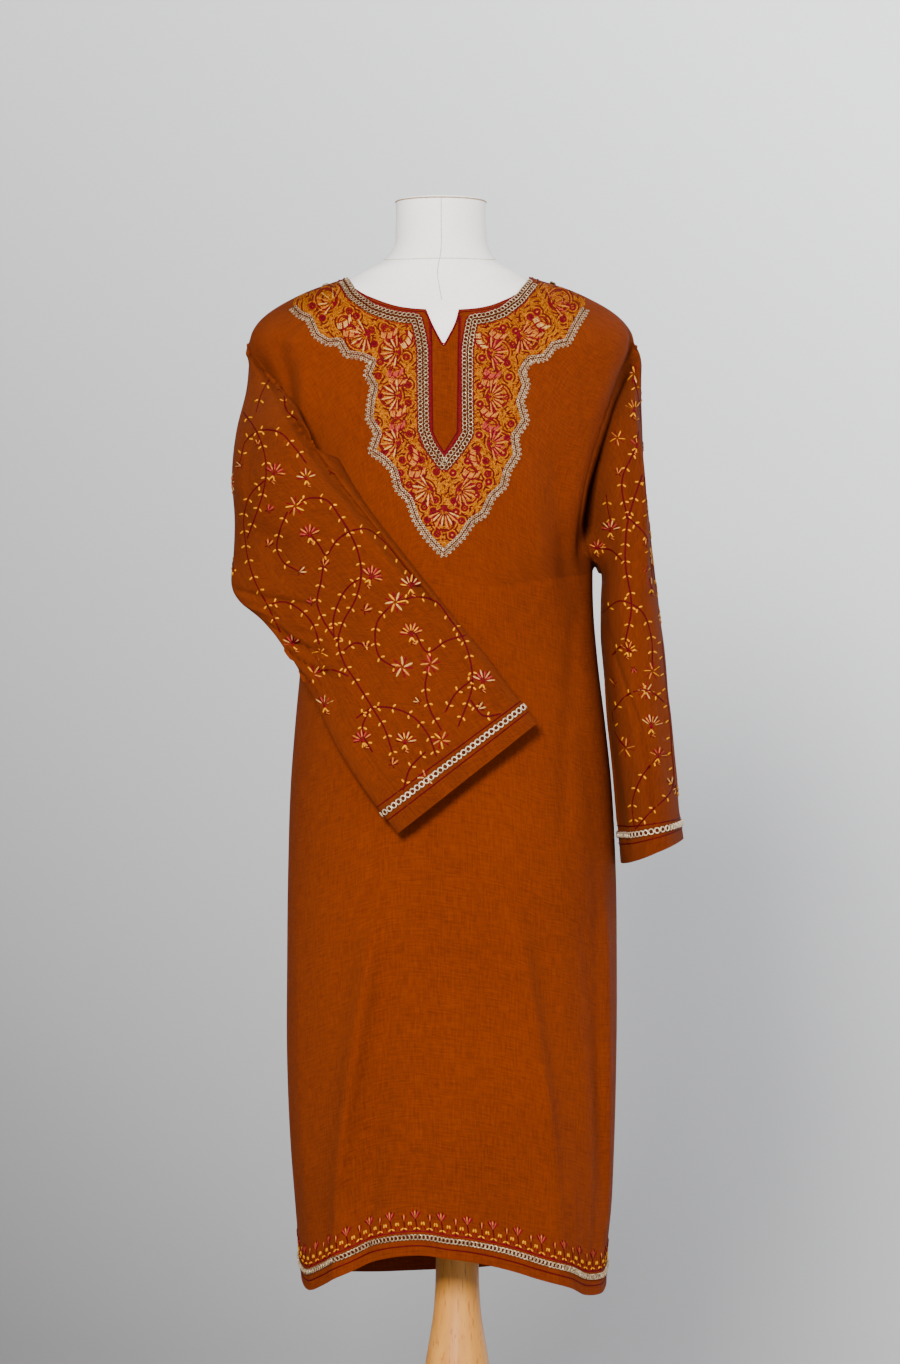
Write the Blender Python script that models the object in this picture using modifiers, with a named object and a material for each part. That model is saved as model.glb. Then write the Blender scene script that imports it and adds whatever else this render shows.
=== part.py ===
"""Pheran worn on a limbless dress form with a turned wooden post, in metres, +Z up, front to -Y."""
import bpy
import math
import numpy as np
from collections import namedtuple

# Driving sizes
WALL = 0.002
SEAM = 0.0003
SEAM_RISE = 0.0050
HEM_ROW = 0.0253
REST = 0.0008
BRAID_LOW = 0.0008
BRAID_HIGH = 0.0020
HEM_BRAID_UP = 0.0200
HEM_BRAID_WIDE = 0.0080
CUFF_BRAID_UP = 0.0245
CUFF_BRAID_WIDE = 0.0100
NECK_BRAID_WIDE = 0.0130
YOKE_BORDER_WIDE = 0.0085
FORM_BOTTOM = 0.720
BASE_TOP = 0.028
POST_TOP = FORM_BOTTOM - SEAM
NECK_TOP = 1.4995
NECK_ROOT = 1.436
FORM_INSET_Z = [0.72, 0.80, 1.00, 1.15, 1.25, 1.32, 1.345, 1.36, 1.51]
FORM_INSET = [0.040, 0.026, 0.018, 0.016, 0.016, 0.011, 0.005, WALL + REST, WALL + REST]
SLIT_DEPTH = 0.040
SLIT_ANGLE = 6.5
ARMPIT = 0.7056
TIP = 0.9390
EYE_FAR = 4.5
EYE_X = -0.008
EYE_Z = 0.970

# The body tube by height: centre line, half widths, depths in front and behind, roundness power
Level = namedtuple("Level", "z centre right left front back power")
LEVELS = [
    Level(0.296, -0.003, 0.167, 0.167, 0.136, 0.140, 2.45),
    Level(0.336, -0.004, 0.169, 0.168, 0.137, 0.141, 2.45),
    Level(0.400, -0.004, 0.174, 0.174, 0.139, 0.141, 2.45),
    Level(0.466, -0.005, 0.178, 0.178, 0.140, 0.141, 2.45),
    Level(0.565, -0.006, 0.181, 0.181, 0.140, 0.141, 2.45),
    Level(0.664, -0.006, 0.181, 0.181, 0.139, 0.140, 2.45),
    Level(0.763, -0.006, 0.180, 0.180, 0.138, 0.137, 2.40),
    Level(0.862, -0.007, 0.176, 0.176, 0.136, 0.132, 2.35),
    Level(0.928, -0.008, 0.170, 0.170, 0.135, 0.127, 2.30),
    Level(0.994, -0.009, 0.163, 0.163, 0.135, 0.122, 2.30),
    Level(1.060, -0.010, 0.159, 0.159, 0.139, 0.119, 2.25),
    Level(1.120, -0.011, 0.161, 0.161, 0.143, 0.118, 2.25),
    Level(1.180, -0.012, 0.171, 0.170, 0.143, 0.117, 2.20),
    Level(1.240, -0.013, 0.185, 0.184, 0.130, 0.115, 2.15),
    Level(1.300, -0.014, 0.200, 0.200, 0.110, 0.110, 2.05),
    Level(1.340, -0.015, 0.214, 0.211, 0.093, 0.102, 1.95),
    Level(1.357, -0.015, 0.210, 0.206, 0.086, 0.096, 1.90),
    Level(1.372, -0.016, 0.197, 0.193, 0.079, 0.088, 1.82),
    Level(1.388, -0.018, 0.171, 0.169, 0.070, 0.080, 1.72),
    Level(1.401, -0.020, 0.142, 0.143, 0.063, 0.072, 1.66),
    Level(1.4155, -0.022, 0.099, 0.101, 0.058, 0.064, 1.70),
    Level(1.425, -0.021, 0.083, 0.084, 0.056, 0.061, 1.85),
    Level(1.434, -0.019, 0.067, 0.066, 0.055, 0.059, 1.95),
    Level(1.445, -0.018, 0.057, 0.057, 0.055, 0.058, 2.00),
    Level(1.470, -0.018, 0.053, 0.053, 0.054, 0.057, 2.00),
    Level(1.515, -0.018, 0.0535, 0.0535, 0.054, 0.057, 2.00),
]

# Heights of the cut edges by angle round the body, from the front centre to each side
Edge = namedtuple("Edge", "angle height")
HEM_FRONT = [Edge(-90, 0.321), Edge(-66, 0.311), Edge(-55, 0.319), Edge(-39, 0.335), Edge(-26, 0.350),
             Edge(-15, 0.357), Edge(-6, 0.358), Edge(0, 0.354), Edge(6, 0.350), Edge(16, 0.342),
             Edge(28, 0.331), Edge(44, 0.319), Edge(57, 0.308), Edge(68, 0.306), Edge(90, 0.3144)]
HEM_BACK = [Edge(-90, 0.321), Edge(-60, 0.311), Edge(-30, 0.304), Edge(0, 0.305), Edge(25, 0.313),
            Edge(60, 0.317), Edge(90, 0.3144)]
NECK_FRONT = [Edge(-90, 1.4155), Edge(-65, 1.411), Edge(-44, 1.400), Edge(-29, 1.387), Edge(-15, 1.3755),
              Edge(0, 1.3725), Edge(15, 1.3755), Edge(29, 1.387), Edge(44, 1.400), Edge(65, 1.411),
              Edge(90, 1.4155)]
NECK_BACK = [Edge(-90, 1.4155), Edge(-60, 1.411), Edge(-30, 1.402), Edge(0, 1.399), Edge(30, 1.402),
             Edge(60, 1.411), Edge(90, 1.4155)]

# How far each armhole edge lies in from the side, in degrees, from armpit to shoulder tip
ArmholeRow = namedtuple("ArmholeRow", "part front back")
ARMHOLE = [ArmholeRow(0.00, 0, 0), ArmholeRow(0.06, 17, 14), ArmholeRow(0.14, 26, 22),
           ArmholeRow(0.24, 31, 26), ArmholeRow(0.36, 32, 26), ArmholeRow(0.50, 30, 24),
           ArmholeRow(0.64, 26, 21), ArmholeRow(0.78, 20, 16), ArmholeRow(0.90, 12, 10),
           ArmholeRow(1.00, 0, 0)]

# Soft folds of the body cloth: where each begins and ends (angle, height), how high and how wide
Fold = namedtuple("Fold", "top_angle top_z low_angle low_z rise wide")
FOLDS = [
    Fold(-24, 0.66, -45, 0.31, 0.0045, 7.5),
    Fold(-14, 0.64, -30, 0.36, -0.0040, 7.0),
    Fold(18, 0.70, 40, 0.31, 0.0045, 7.0),
    Fold(30, 0.66, 55, 0.33, -0.0030, 6.0),
    Fold(150, 0.72, 130, 0.31, 0.0040, 8.0),
    Fold(198, 0.80, 205, 0.31, -0.0030, 8.0),
    Fold(228, 0.68, 240, 0.31, 0.0040, 8.0),
]

# Sleeve stations: outer line and inner line of the sleeve as seen from the front in the plane y = 0,
# the depth of each line, half the thickness of the tube, how far the ring is rolled in degrees and
# how far its front laps over the front panel
Station = namedtuple("Station", "outer_x outer_z inner_x inner_z outer_y inner_y half roll lap",
                     defaults=[0.0])
SLEEVE_LEFT = [
    Station(0.198, 1.344, 0.150, 1.091, 0.000, 0.000, 0.090, 0),
    Station(0.201, 1.326, 0.156, 1.090, 0.000, 0.000, 0.090, 0),
    Station(0.2015, 1.295, 0.159, 1.087, 0.000, 0.000, 0.090, 0),
    Station(0.2035, 1.247, 0.160, 1.082, 0.000, 0.000, 0.090, 0),
    Station(0.207, 1.192, 0.159, 1.073, 0.000, 0.000, 0.091, 0),
    Station(0.2125, 1.137, 0.158, 1.060, 0.000, 0.000, 0.092, 0),
    Station(0.218, 1.088, 0.158, 1.038, 0.000, 0.000, 0.092, 0),
    Station(0.2225, 1.044, 0.159, 1.011, 0.000, -0.002, 0.091, 0),
    Station(0.228, 0.994, 0.162, 0.978, -0.002, -0.004, 0.090, 0),
    Station(0.232, 0.939, 0.165, 0.939, -0.004, -0.006, 0.089, 0),
    Station(0.2365, 0.884, 0.1695, 0.894, -0.006, -0.008, 0.088, 0),
    Station(0.242, 0.835, 0.1750, 0.832, -0.008, -0.010, 0.087, 0),
    Station(0.2475, 0.799, 0.180, 0.771, -0.010, -0.012, 0.086, 0),
]
SLEEVE_RIGHT = [
    Station(-0.2280, 1.344, -0.171, 1.091, 0.000, 0.000, 0.090, 0, 0.000),
    Station(-0.2290, 1.332, -0.176, 1.140, -0.004, -0.045, 0.090, 6, 0.012),
    Station(-0.2275, 1.302, -0.171, 1.198, -0.014, -0.085, 0.084, 14, 0.018),
    Station(-0.2265, 1.247, -0.160, 1.222, -0.020, -0.118, 0.070, 24, 0.013),
    Station(-0.2280, 1.192, -0.1485, 1.213, -0.026, -0.138, 0.056, 34, 0.004),
    Station(-0.2350, 1.137, -0.124, 1.186, -0.038, -0.149, 0.044, 41, 0.000),
    Station(-0.2450, 1.082, -0.0785, 1.133, -0.052, -0.155, 0.034, 45, 0.000),
    Station(-0.2380, 1.059, -0.0475, 1.095, -0.068, -0.157, 0.028, 45, 0.000),
    Station(-0.2080, 1.032, -0.0205, 1.062, -0.092, -0.158, 0.023, 45, 0.000),
    Station(-0.1825, 0.998, -0.0050, 1.043, -0.113, -0.159, 0.020, 45, 0.000),
    Station(-0.1620, 0.961, 0.0090, 1.026, -0.128, -0.159, 0.018, 45, 0.000),
    Station(-0.1365, 0.906, 0.031, 1.000, -0.142, -0.158, 0.017, 45, 0.000),
    Station(-0.1110, 0.864, 0.053, 0.970, -0.152, -0.156, 0.016, 45, 0.000),
    Station(-0.0870, 0.831, 0.070, 0.948, -0.158, -0.153, 0.0155, 45, 0.000),
    Station(-0.0660, 0.803, 0.088, 0.925, -0.160, -0.150, 0.015, 45, 0.000),
]

# Middle line of the neck braid and of the yoke border, as seen from the front in the plane y = 0
Mark = namedtuple("Mark", "x z")
NECK_PATH = [Mark(-0.1245, 1.4105), Mark(-0.1144, 1.3946), Mark(-0.0946, 1.3803), Mark(-0.0748, 1.3732),
             Mark(-0.0594, 1.3704), Mark(-0.0450, 1.3693), Mark(-0.0405, 1.3517), Mark(-0.0380, 1.3352),
             Mark(-0.0374, 1.2802), Mark(-0.0369, 1.2472), Mark(-0.0297, 1.2285), Mark(-0.0143, 1.2076),
             Mark(0.0011, 1.2263), Mark(0.0116, 1.2428), Mark(0.0110, 1.2802), Mark(0.0110, 1.3352),
             Mark(0.0132, 1.3517), Mark(0.0165, 1.3682), Mark(0.0330, 1.3704), Mark(0.0495, 1.3759),
             Mark(0.0660, 1.3924), Mark(0.0762, 1.4105)]
YOKE_PATH = [Mark(-0.1800, 1.3820), Mark(-0.1735, 1.3750), Mark(-0.1620, 1.3700), Mark(-0.1545, 1.3520),
             Mark(-0.1420, 1.3440), Mark(-0.1290, 1.3450), Mark(-0.1210, 1.3310), Mark(-0.1050, 1.3290),
             Mark(-0.0920, 1.3230), Mark(-0.0980, 1.3080), Mark(-0.0900, 1.2950), Mark(-0.0935, 1.2820),
             Mark(-0.0960, 1.2600), Mark(-0.0860, 1.2440), Mark(-0.0930, 1.2240), Mark(-0.0800, 1.2150),
             Mark(-0.0690, 1.2030), Mark(-0.0640, 1.1830), Mark(-0.0520, 1.1710), Mark(-0.0440, 1.1480),
             Mark(-0.0320, 1.1300), Mark(-0.0154, 1.1120), Mark(0.0040, 1.1300), Mark(0.0150, 1.1470),
             Mark(0.0290, 1.1560), Mark(0.0370, 1.1740), Mark(0.0500, 1.1860), Mark(0.0540, 1.2030),
             Mark(0.0650, 1.2200), Mark(0.0620, 1.2400), Mark(0.0740, 1.2570), Mark(0.0680, 1.2790),
             Mark(0.0750, 1.2960), Mark(0.0700, 1.3110), Mark(0.0790, 1.3250), Mark(0.0950, 1.3270),
             Mark(0.1060, 1.3410), Mark(0.1200, 1.3440), Mark(0.1290, 1.3620), Mark(0.1400, 1.3800)]

# Grid of each panel
COLUMNS = [-90, -80, -71, -62, -53, -45, -37, -29.5, -22, -14, -6.5, 0,
           6.5, 14, 22, 29.5, 37, 45, 53, 62, 71, 80, 90]
LOW_ROWS = 12
ARM_ROWS = 10
TOP_ROWS = 3


def curve(xs, ys, x):
    """Smooth line through a few given points."""
    xs = np.asarray(xs, float)
    ys = np.asarray(ys, float)
    slope = np.gradient(ys, xs)
    x = np.clip(x, xs[0], xs[-1])
    i = np.clip(np.searchsorted(xs, x) - 1, 0, len(xs) - 2)
    step = xs[i + 1] - xs[i]
    t = (x - xs[i]) / step
    start = (2 * t ** 3 - 3 * t ** 2 + 1) * ys[i] + (t ** 3 - 2 * t ** 2 + t) * step * slope[i]
    end = (3 * t ** 2 - 2 * t ** 3) * ys[i + 1] + (t ** 3 - t ** 2) * step * slope[i + 1]
    return start + end


def column(table, name):
    return [getattr(entry, name) for entry in table]


def smooth(t):
    t = np.clip(t, 0.0, 1.0)
    return t * t * (3 - 2 * t)


def unit(vectors):
    return vectors / np.maximum(np.linalg.norm(vectors, axis=-1, keepdims=True), 1e-12)


def shape(angle, z):
    """Point of the body tube at an angle in degrees (0 front, 90 the wearer's left) and a height."""
    heights = column(LEVELS, "z")
    value = {name: curve(heights, column(LEVELS, name), z) for name in Level._fields[1:]}
    across = np.sin(np.radians(angle))
    along = np.cos(np.radians(angle))
    half = np.where(across < 0, value["right"], value["left"])
    deep = np.where(along > 0, value["front"], value["back"])
    x = value["centre"] + half * np.sign(across) * np.abs(across) ** (2 / value["power"])
    y = -deep * np.sign(along) * np.abs(along) ** (2 / value["power"])
    return np.stack([x, y, z + 0 * x], axis=-1)


def fold_rise(angle, z):
    """Height of the soft folds, strongest in the middle of each fold's length."""
    total = 0 * z
    for f in FOLDS:
        part = (f.top_z - z) / (f.top_z - f.low_z)
        middle = f.top_angle + (f.low_angle - f.top_angle) * part
        away = (np.mod(angle - middle + 180, 360) - 180) / f.wide
        total = total + f.rise * smooth(part * 2.5) * np.exp(-away ** 2)
    return total


def skin(angle, z, lift=0.0):
    """Cloth surface with its folds, moved out by lift."""
    d = 0.2
    e = 0.001
    normal = unit(np.cross(shape(angle + d, z) - shape(angle - d, z), shape(angle, z + e) - shape(angle, z - e)))
    seam = np.isclose(np.abs(angle), 90)[..., None] & np.array([False, True, False])
    normal = unit(np.where(seam, 0.0, normal))
    return shape(angle, z) + normal * (fold_rise(angle, z) + lift)[..., None]


def rows():
    """Row positions from hem (0) to neck (1)."""
    low = np.concatenate([[0], np.linspace(HEM_ROW, ARMPIT, LOW_ROWS)])
    arm = np.linspace(ARMPIT, TIP, ARM_ROWS + 1)
    top = np.linspace(TIP, 1, TOP_ROWS + 1)
    return np.concatenate([low, arm[1:], top[1:]])


def edge_height(table, angle):
    return curve(column(table, "angle"), column(table, "height"), angle)


def panel_places(part, across, back):
    """Angle and height on the front or back panel of row position part and side position across."""
    hem = edge_height(HEM_BACK if back else HEM_FRONT, across)
    neck = edge_height(NECK_BACK if back else NECK_FRONT, across)
    z = hem + (neck - hem) * part
    if not back:
        slit = np.clip(1 - np.abs(across) / SLIT_ANGLE, 0, 1)
        z = z - SLIT_DEPTH * slit * smooth((part - 0.80) / 0.20)
    rise = (part - ARMPIT) / (TIP - ARMPIT)
    inset = curve(column(ARMHOLE, "part"), column(ARMHOLE, "back" if back else "front"), rise)
    inset = np.where((rise <= 0) | (rise >= 1), 0.0, inset)
    angle = across * (90 - inset) / 90
    return angle, z


def panel_grid(back, lift):
    part, across = np.meshgrid(rows(), np.array(COLUMNS, float), indexing="ij")
    angle, z = panel_places(part, across, back)
    if back:
        angle = 180 - angle
    points = skin(np.where(angle > 180, angle - 360, angle), z, lift + 0 * z)
    return apart(points, angle, back)


def apart(points, angle, back):
    """Move the points on the side and shoulder seams half a gap into their own panel."""
    on_seam = np.isclose(np.abs(np.abs(angle) - 90) % 180, 0)
    shift = SEAM / 2 if back else -SEAM / 2
    points[..., 1] = np.where(on_seam, shift, points[..., 1])
    return points


def paint(obj, colour, rough, metal=0.0):
    material = bpy.data.materials.new(obj.name + "_look")
    material.use_nodes = True
    shader = material.node_tree.nodes["Principled BSDF"]
    shader.inputs["Base Color"].default_value = (*colour, 1)
    shader.inputs["Roughness"].default_value = rough
    shader.inputs["Metallic"].default_value = metal
    obj.data.materials.append(material)


def make(name, points, faces):
    mesh = bpy.data.meshes.new(name)
    mesh.from_pydata([tuple(p) for p in points], [], faces)
    mesh.shade_smooth()
    mesh.set_sharp_from_angle(angle=math.radians(50))
    obj = bpy.data.objects.new(name, mesh)
    pheran.objects.link(obj)
    return obj


def walled(name, outer, inner, ring=False):
    """Closed cloth wall between an outer and an inner grid of points, flat or closed in a ring."""
    m, n = outer.shape[:2]
    o = np.arange(m * n).reshape(m, n)
    i = o + m * n
    if ring:
        o = np.concatenate([o, o[:, :1]], axis=1)
        i = np.concatenate([i, i[:, :1]], axis=1)
    faces = []
    for r in range(m - 1):
        for c in range(o.shape[1] - 1):
            faces.append((o[r, c], o[r, c + 1], o[r + 1, c + 1], o[r + 1, c]))
            faces.append((i[r, c], i[r + 1, c], i[r + 1, c + 1], i[r, c + 1]))
    for c in range(o.shape[1] - 1):
        faces.append((o[0, c + 1], o[0, c], i[0, c], i[0, c + 1]))
        faces.append((o[-1, c], o[-1, c + 1], i[-1, c + 1], i[-1, c]))
    if not ring:
        for r in range(m - 1):
            faces.append((o[r, 0], o[r + 1, 0], i[r + 1, 0], i[r, 0]))
            faces.append((o[r + 1, -1], o[r, -1], i[r, -1], i[r + 1, -1]))
    points = np.concatenate([outer.reshape(-1, 3), inner.reshape(-1, 3)])
    obj = make(name, points, [tuple(int(v) for v in f) for f in faces])
    turn_outward(obj)
    return obj


def turn_outward(obj):
    """Flip every face if the solid is inside out."""
    mesh = obj.data
    volume = 0.0
    for polygon in mesh.polygons:
        corners = [mesh.vertices[v].co for v in polygon.vertices]
        for k in range(1, len(corners) - 1):
            volume += corners[0].dot(corners[k].cross(corners[k + 1]))
    if volume < 0:
        mesh.flip_normals()


def panel(name, back):
    obj = walled(name, panel_grid(back, 0.0), panel_grid(back, -WALL))
    paint(obj, (0.33, 0.045, 0.002), 0.9)


def armhole_loop(side, lift):
    """Points round an armhole: shoulder tip, down the front edge, armpit, up the back edge."""
    a = LOW_ROWS
    t = LOW_ROWS + ARM_ROWS
    front = panel_grid(False, lift)
    back = panel_grid(True, lift)
    edge = -1 if side > 0 else 0
    f = front[a:t + 1, edge]
    b = back[a:t + 1, edge]
    tip = (f[-1] + b[-1]) / 2
    armpit = (f[0] + b[0]) / 2
    return np.concatenate([[tip], f[-2:0:-1], [armpit], b[1:-1]])


def sleeve_lines(stations, t):
    """Station values at any place t along the sleeve, 0 at the shoulder and 1 at the cuff."""
    at = np.linspace(0, 1, len(stations))
    value = {name: curve(at, column(stations, name), t) for name in Station._fields}
    outer = toward_eye(value["outer_x"], value["outer_y"], value["outer_z"])
    inner = toward_eye(value["inner_x"], value["inner_y"], value["inner_z"])
    return outer, inner, value


def toward_eye(x, y, z):
    """A point seen at (x, z) in the plane y = 0 that really lies at depth y."""
    near = (EYE_FAR + y) / EYE_FAR
    return np.stack([EYE_X + (x - EYE_X) * near, y + 0 * x, EYE_Z + (z - EYE_Z) * near], axis=-1)


def clear_of_body(points, gap):
    """Push points out level until they stand clear of the body cloth."""
    heights = column(LEVELS, "z")
    x, y, z = points[..., 0], points[..., 1], points[..., 2]
    value = {name: curve(heights, column(LEVELS, name), z) for name in Level._fields[1:]}
    half = np.where(x < value["centre"], value["right"], value["left"]) + gap
    deep = np.where(y < 0, value["front"], value["back"]) + gap
    u = np.abs(x - value["centre"]) / half
    v = np.abs(y) / deep
    size = (u ** value["power"] + v ** value["power"]) ** (1 / value["power"])
    grow = np.where((size < 1) & (z < 1.33), 1 / np.maximum(size, 1e-6), 1.0)
    out = points.copy()
    out[..., 0] = value["centre"] + (x - value["centre"]) * grow
    out[..., 1] = y * grow
    return out


def sleeve_skin(stations, side, places):
    """Outer points of a sleeve at the places t, rings of points from tip round the front."""
    loop = armhole_loop(side, 0.0)
    n = len(loop)
    phi = np.arange(n) * 2 * math.pi / n
    axis0 = (loop[0] - loop[n // 2]) / 2
    middle0 = (loop[0] + loop[n // 2]) / 2
    rise = (loop - middle0) @ axis0 / (axis0 @ axis0)
    rest = loop - middle0 - rise[:, None] * axis0
    outer, inner, value = sleeve_lines(stations, places)
    rings = []
    for k, t in enumerate(places):
        middle = (outer[k] + inner[k]) / 2
        axis = (outer[k] - inner[k]) / 2
        thick = np.array([0, 1.0, 0]) - unit(axis) * unit(axis)[1]
        thick = unit(thick) * value["half"][k]
        turned = phi + math.radians(value["roll"][k])
        level = np.sin(turned)
        level = np.sign(level) * np.abs(level) ** 0.85
        round_ring = middle + np.cos(turned)[:, None] * axis - level[:, None] * thick
        near = smooth(t / 0.36)
        start_ring = middle + rise[:, None] * axis + rest * (1 - 0.35 * near)
        lap = np.maximum(np.sin(phi), 0)[:, None] * value["lap"][k] * np.array([-side, -0.6, 0])
        rings.append(start_ring * (1 - near) + round_ring * near + lap)
    return np.array(rings)


def grid_normals(grid, side):
    around = np.roll(grid, -1, axis=1) - np.roll(grid, 1, axis=1)
    down = np.gradient(grid, axis=0)
    return unit(np.cross(around, down)) * side


def sleeve_shell(stations, side, places, puff):
    """Outer and inner points of the sleeve wall: a seam gap, a small rise, then the rings."""
    outer = sleeve_skin(stations, side, places)
    outer[1:] = clear_of_body(outer[1:], WALL + 0.0015)
    loop = armhole_loop(side, 0.0)
    under = armhole_loop(side, -WALL)
    run = np.roll(loop, -1, axis=0) - np.roll(loop, 1, axis=0)
    away = unit(np.cross(loop - under, run)) * side
    up = unit(loop - under)
    outer[0] = loop + away * SEAM
    outer = np.insert(outer, 1, loop + away * SEAM_RISE + up * puff, axis=0)
    inner = outer - grid_normals(outer, side) * WALL
    inner[0] = under + away * SEAM
    inner[1] = under + away * SEAM_RISE + up * puff
    return outer, inner


def sleeve(name, stations, side, puff):
    places = np.linspace(0, 1, len(stations) + 4)
    outer, inner = sleeve_shell(stations, side, places, puff)
    obj = walled(name, outer, inner, ring=True)
    paint(obj, (0.30, 0.042, 0.003), 0.9)


def cuff_braid(name, stations, side):
    """Closed braid ring that lies on the sleeve just above its cuff."""
    places = np.linspace(0.6, 1, 41)
    outer, _ = sleeve_shell(stations, side, np.concatenate([[0.0], places]), 0.0)
    outer = outer[2:]
    normal = grid_normals(outer, side)
    step = np.linalg.norm(np.diff(outer.mean(axis=1), axis=0), axis=1)
    left = np.concatenate([np.cumsum(step[::-1])[::-1], [0.0]])
    low = CUFF_BRAID_UP - CUFF_BRAID_WIDE / 2
    high = CUFF_BRAID_UP + CUFF_BRAID_WIDE / 2
    keep = []
    for want in (high, CUFF_BRAID_UP, low):
        keep.append(int(np.argmin(np.abs(left - want))))
    over = outer[keep] + normal[keep] * BRAID_HIGH
    under = outer[keep] + normal[keep] * BRAID_LOW
    obj = walled(name, over, under, ring=True)
    paint(obj, (0.50, 0.44, 0.34), 0.4, 0.7)


def hem_braid(name, back):
    """Braid on the lowest row of one panel, from side seam to side seam, made from its points."""
    flat = panel_grid(back, 0.0)[:2]
    length = np.linalg.norm(flat[1] - flat[0], axis=-1, keepdims=True)
    grids = []
    for lift in (BRAID_HIGH, BRAID_LOW):
        raised = panel_grid(back, lift)[:2]
        lines = []
        for up in (-0.5, 0.5):
            part = (HEM_BRAID_UP + up * HEM_BRAID_WIDE) / length
            lines.append(raised[0] + (raised[1] - raised[0]) * part)
        grids.append(np.array(lines))
    obj = walled(name, grids[0], grids[1])
    paint(obj, (0.50, 0.44, 0.34), 0.4, 0.7)


def front_at(x, z):
    """Angle on the front of the body whose point has this x at height z."""
    heights = column(LEVELS, "z")
    value = {name: curve(heights, column(LEVELS, name), z) for name in Level._fields[1:]}
    away = x - value["centre"]
    half = np.where(away < 0, value["right"], value["left"])
    part = np.clip(np.abs(away) / half, 0, 0.999) ** (value["power"] / 2)
    return np.sign(away) * np.degrees(np.arcsin(part))


def seen_on_front(x, z, lift):
    """Point of the front cloth seen at (x, z) in the plane y = 0."""
    y = np.full(np.shape(x), -0.1)
    for _ in range(6):
        place = toward_eye(x, y, z)
        angle = front_at(place[..., 0], place[..., 2])
        y = skin(angle, place[..., 2], 0 * y)[..., 1]
    return skin(angle, place[..., 2], lift + 0 * y)


def ribbon_edges(path, wide, spacing):
    """Left and right edges of a flat band of even width along a path, with mitred corners."""
    marks = np.array([(m.x, m.z) for m in path])
    lines = [marks[:1]]
    for a, b in zip(marks[:-1], marks[1:]):
        count = max(1, round(float(np.linalg.norm(b - a)) / spacing))
        lines.append(a + (b - a) * (np.arange(1, count + 1) / count)[:, None])
    line = np.concatenate(lines)
    run = unit(np.diff(line, axis=0))
    before = np.concatenate([run[:1], run])
    after = np.concatenate([run, run[-1:]])
    bisect = unit(before + after)
    side = np.stack([-bisect[:, 1], bisect[:, 0]], axis=-1)
    reach = 1 / np.maximum(np.abs(np.sum(bisect * before, axis=-1)), 0.5)
    offset = side * (reach * wide / 2)[:, None]
    return line - offset, line + offset


def front_ribbon(name, path, wide, spacing):
    low, high = ribbon_edges(path, wide, spacing)
    grids = []
    for lift in (BRAID_HIGH, BRAID_LOW):
        lines = [seen_on_front(edge[:, 0], edge[:, 1], lift) for edge in (low, (low + high) / 2, high)]
        grids.append(np.array(lines))
    obj = walled(name, grids[0], grids[1])
    paint(obj, (0.50, 0.44, 0.34), 0.4, 0.7)


def neck_braid_back(name):
    """The neck braid carried round the back neck from shoulder seam to shoulder seam."""
    across = np.array(COLUMNS, float) * 0.97
    neck = edge_height(NECK_BACK, across)
    angle = 180 - across
    angle = np.where(angle > 180, angle - 360, angle)
    grids = []
    for lift in (BRAID_HIGH, BRAID_LOW):
        lines = []
        for down in (0.0030, 0.0080, 0.0130):
            z = neck - down * np.where(np.abs(across) > 60, 0.6, 1.0)
            lines.append(skin(angle, z, lift + 0 * z))
        grids.append(np.array(lines))
    obj = walled(name, grids[0], grids[1])
    paint(obj, (0.50, 0.44, 0.34), 0.4, 0.7)


def form_torso():
    """Limbless form: the body tube moved in, seated under the shoulder cloth and free lower down."""
    front = np.array(COLUMNS, float)
    across = np.concatenate([front, front[-2:0:-1]])
    behind = np.arange(len(across)) >= len(front)
    angle = np.where(behind, 180 - across, across)
    angle = np.where(angle > 180, angle - 360, angle)
    hem = np.where(behind, edge_height(HEM_BACK, across), edge_height(HEM_FRONT, across))
    neck = np.where(behind, edge_height(NECK_BACK, across), edge_height(NECK_FRONT, across))
    parts = rows()
    parts = np.concatenate([parts[LOW_ROWS + 1:-6:2], parts[-6:]])
    first = hem + (neck - hem) * parts[0]
    levels = [FORM_BOTTOM + 0.001 + (first - FORM_BOTTOM - 0.001) * g for g in np.linspace(0, 1, 7)[:-1]]
    levels += [hem + (neck - hem) * part for part in parts]
    levels += [neck + (NECK_ROOT - neck) * f for f in (0.25, 0.5, 0.75, 1.0)]
    levels += [NECK_ROOT + (NECK_TOP - NECK_ROOT) * f + 0 * neck for f in (0.2, 0.55, 1.0)]
    z = np.array(levels)
    angle = angle + 0 * z
    inset = np.interp(z, FORM_INSET_Z, FORM_INSET)
    rings = skin(angle, z, -inset)
    rings[0, :, 2] = FORM_BOTTOM
    rings[-1, :, 2] = NECK_TOP
    m, n = rings.shape[:2]
    faces = []
    for r in range(m - 1):
        for c in range(n):
            d = (c + 1) % n
            faces.append((r * n + c, r * n + d, (r + 1) * n + d, (r + 1) * n + c))
    faces.append(tuple(range(n - 1, -1, -1)))
    faces.append(tuple((m - 1) * n + c for c in range(n)))
    obj = make("form_torso", rings.reshape(-1, 3), faces)
    turn_outward(obj)
    paint(obj, (0.82, 0.79, 0.74), 0.85)


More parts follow.
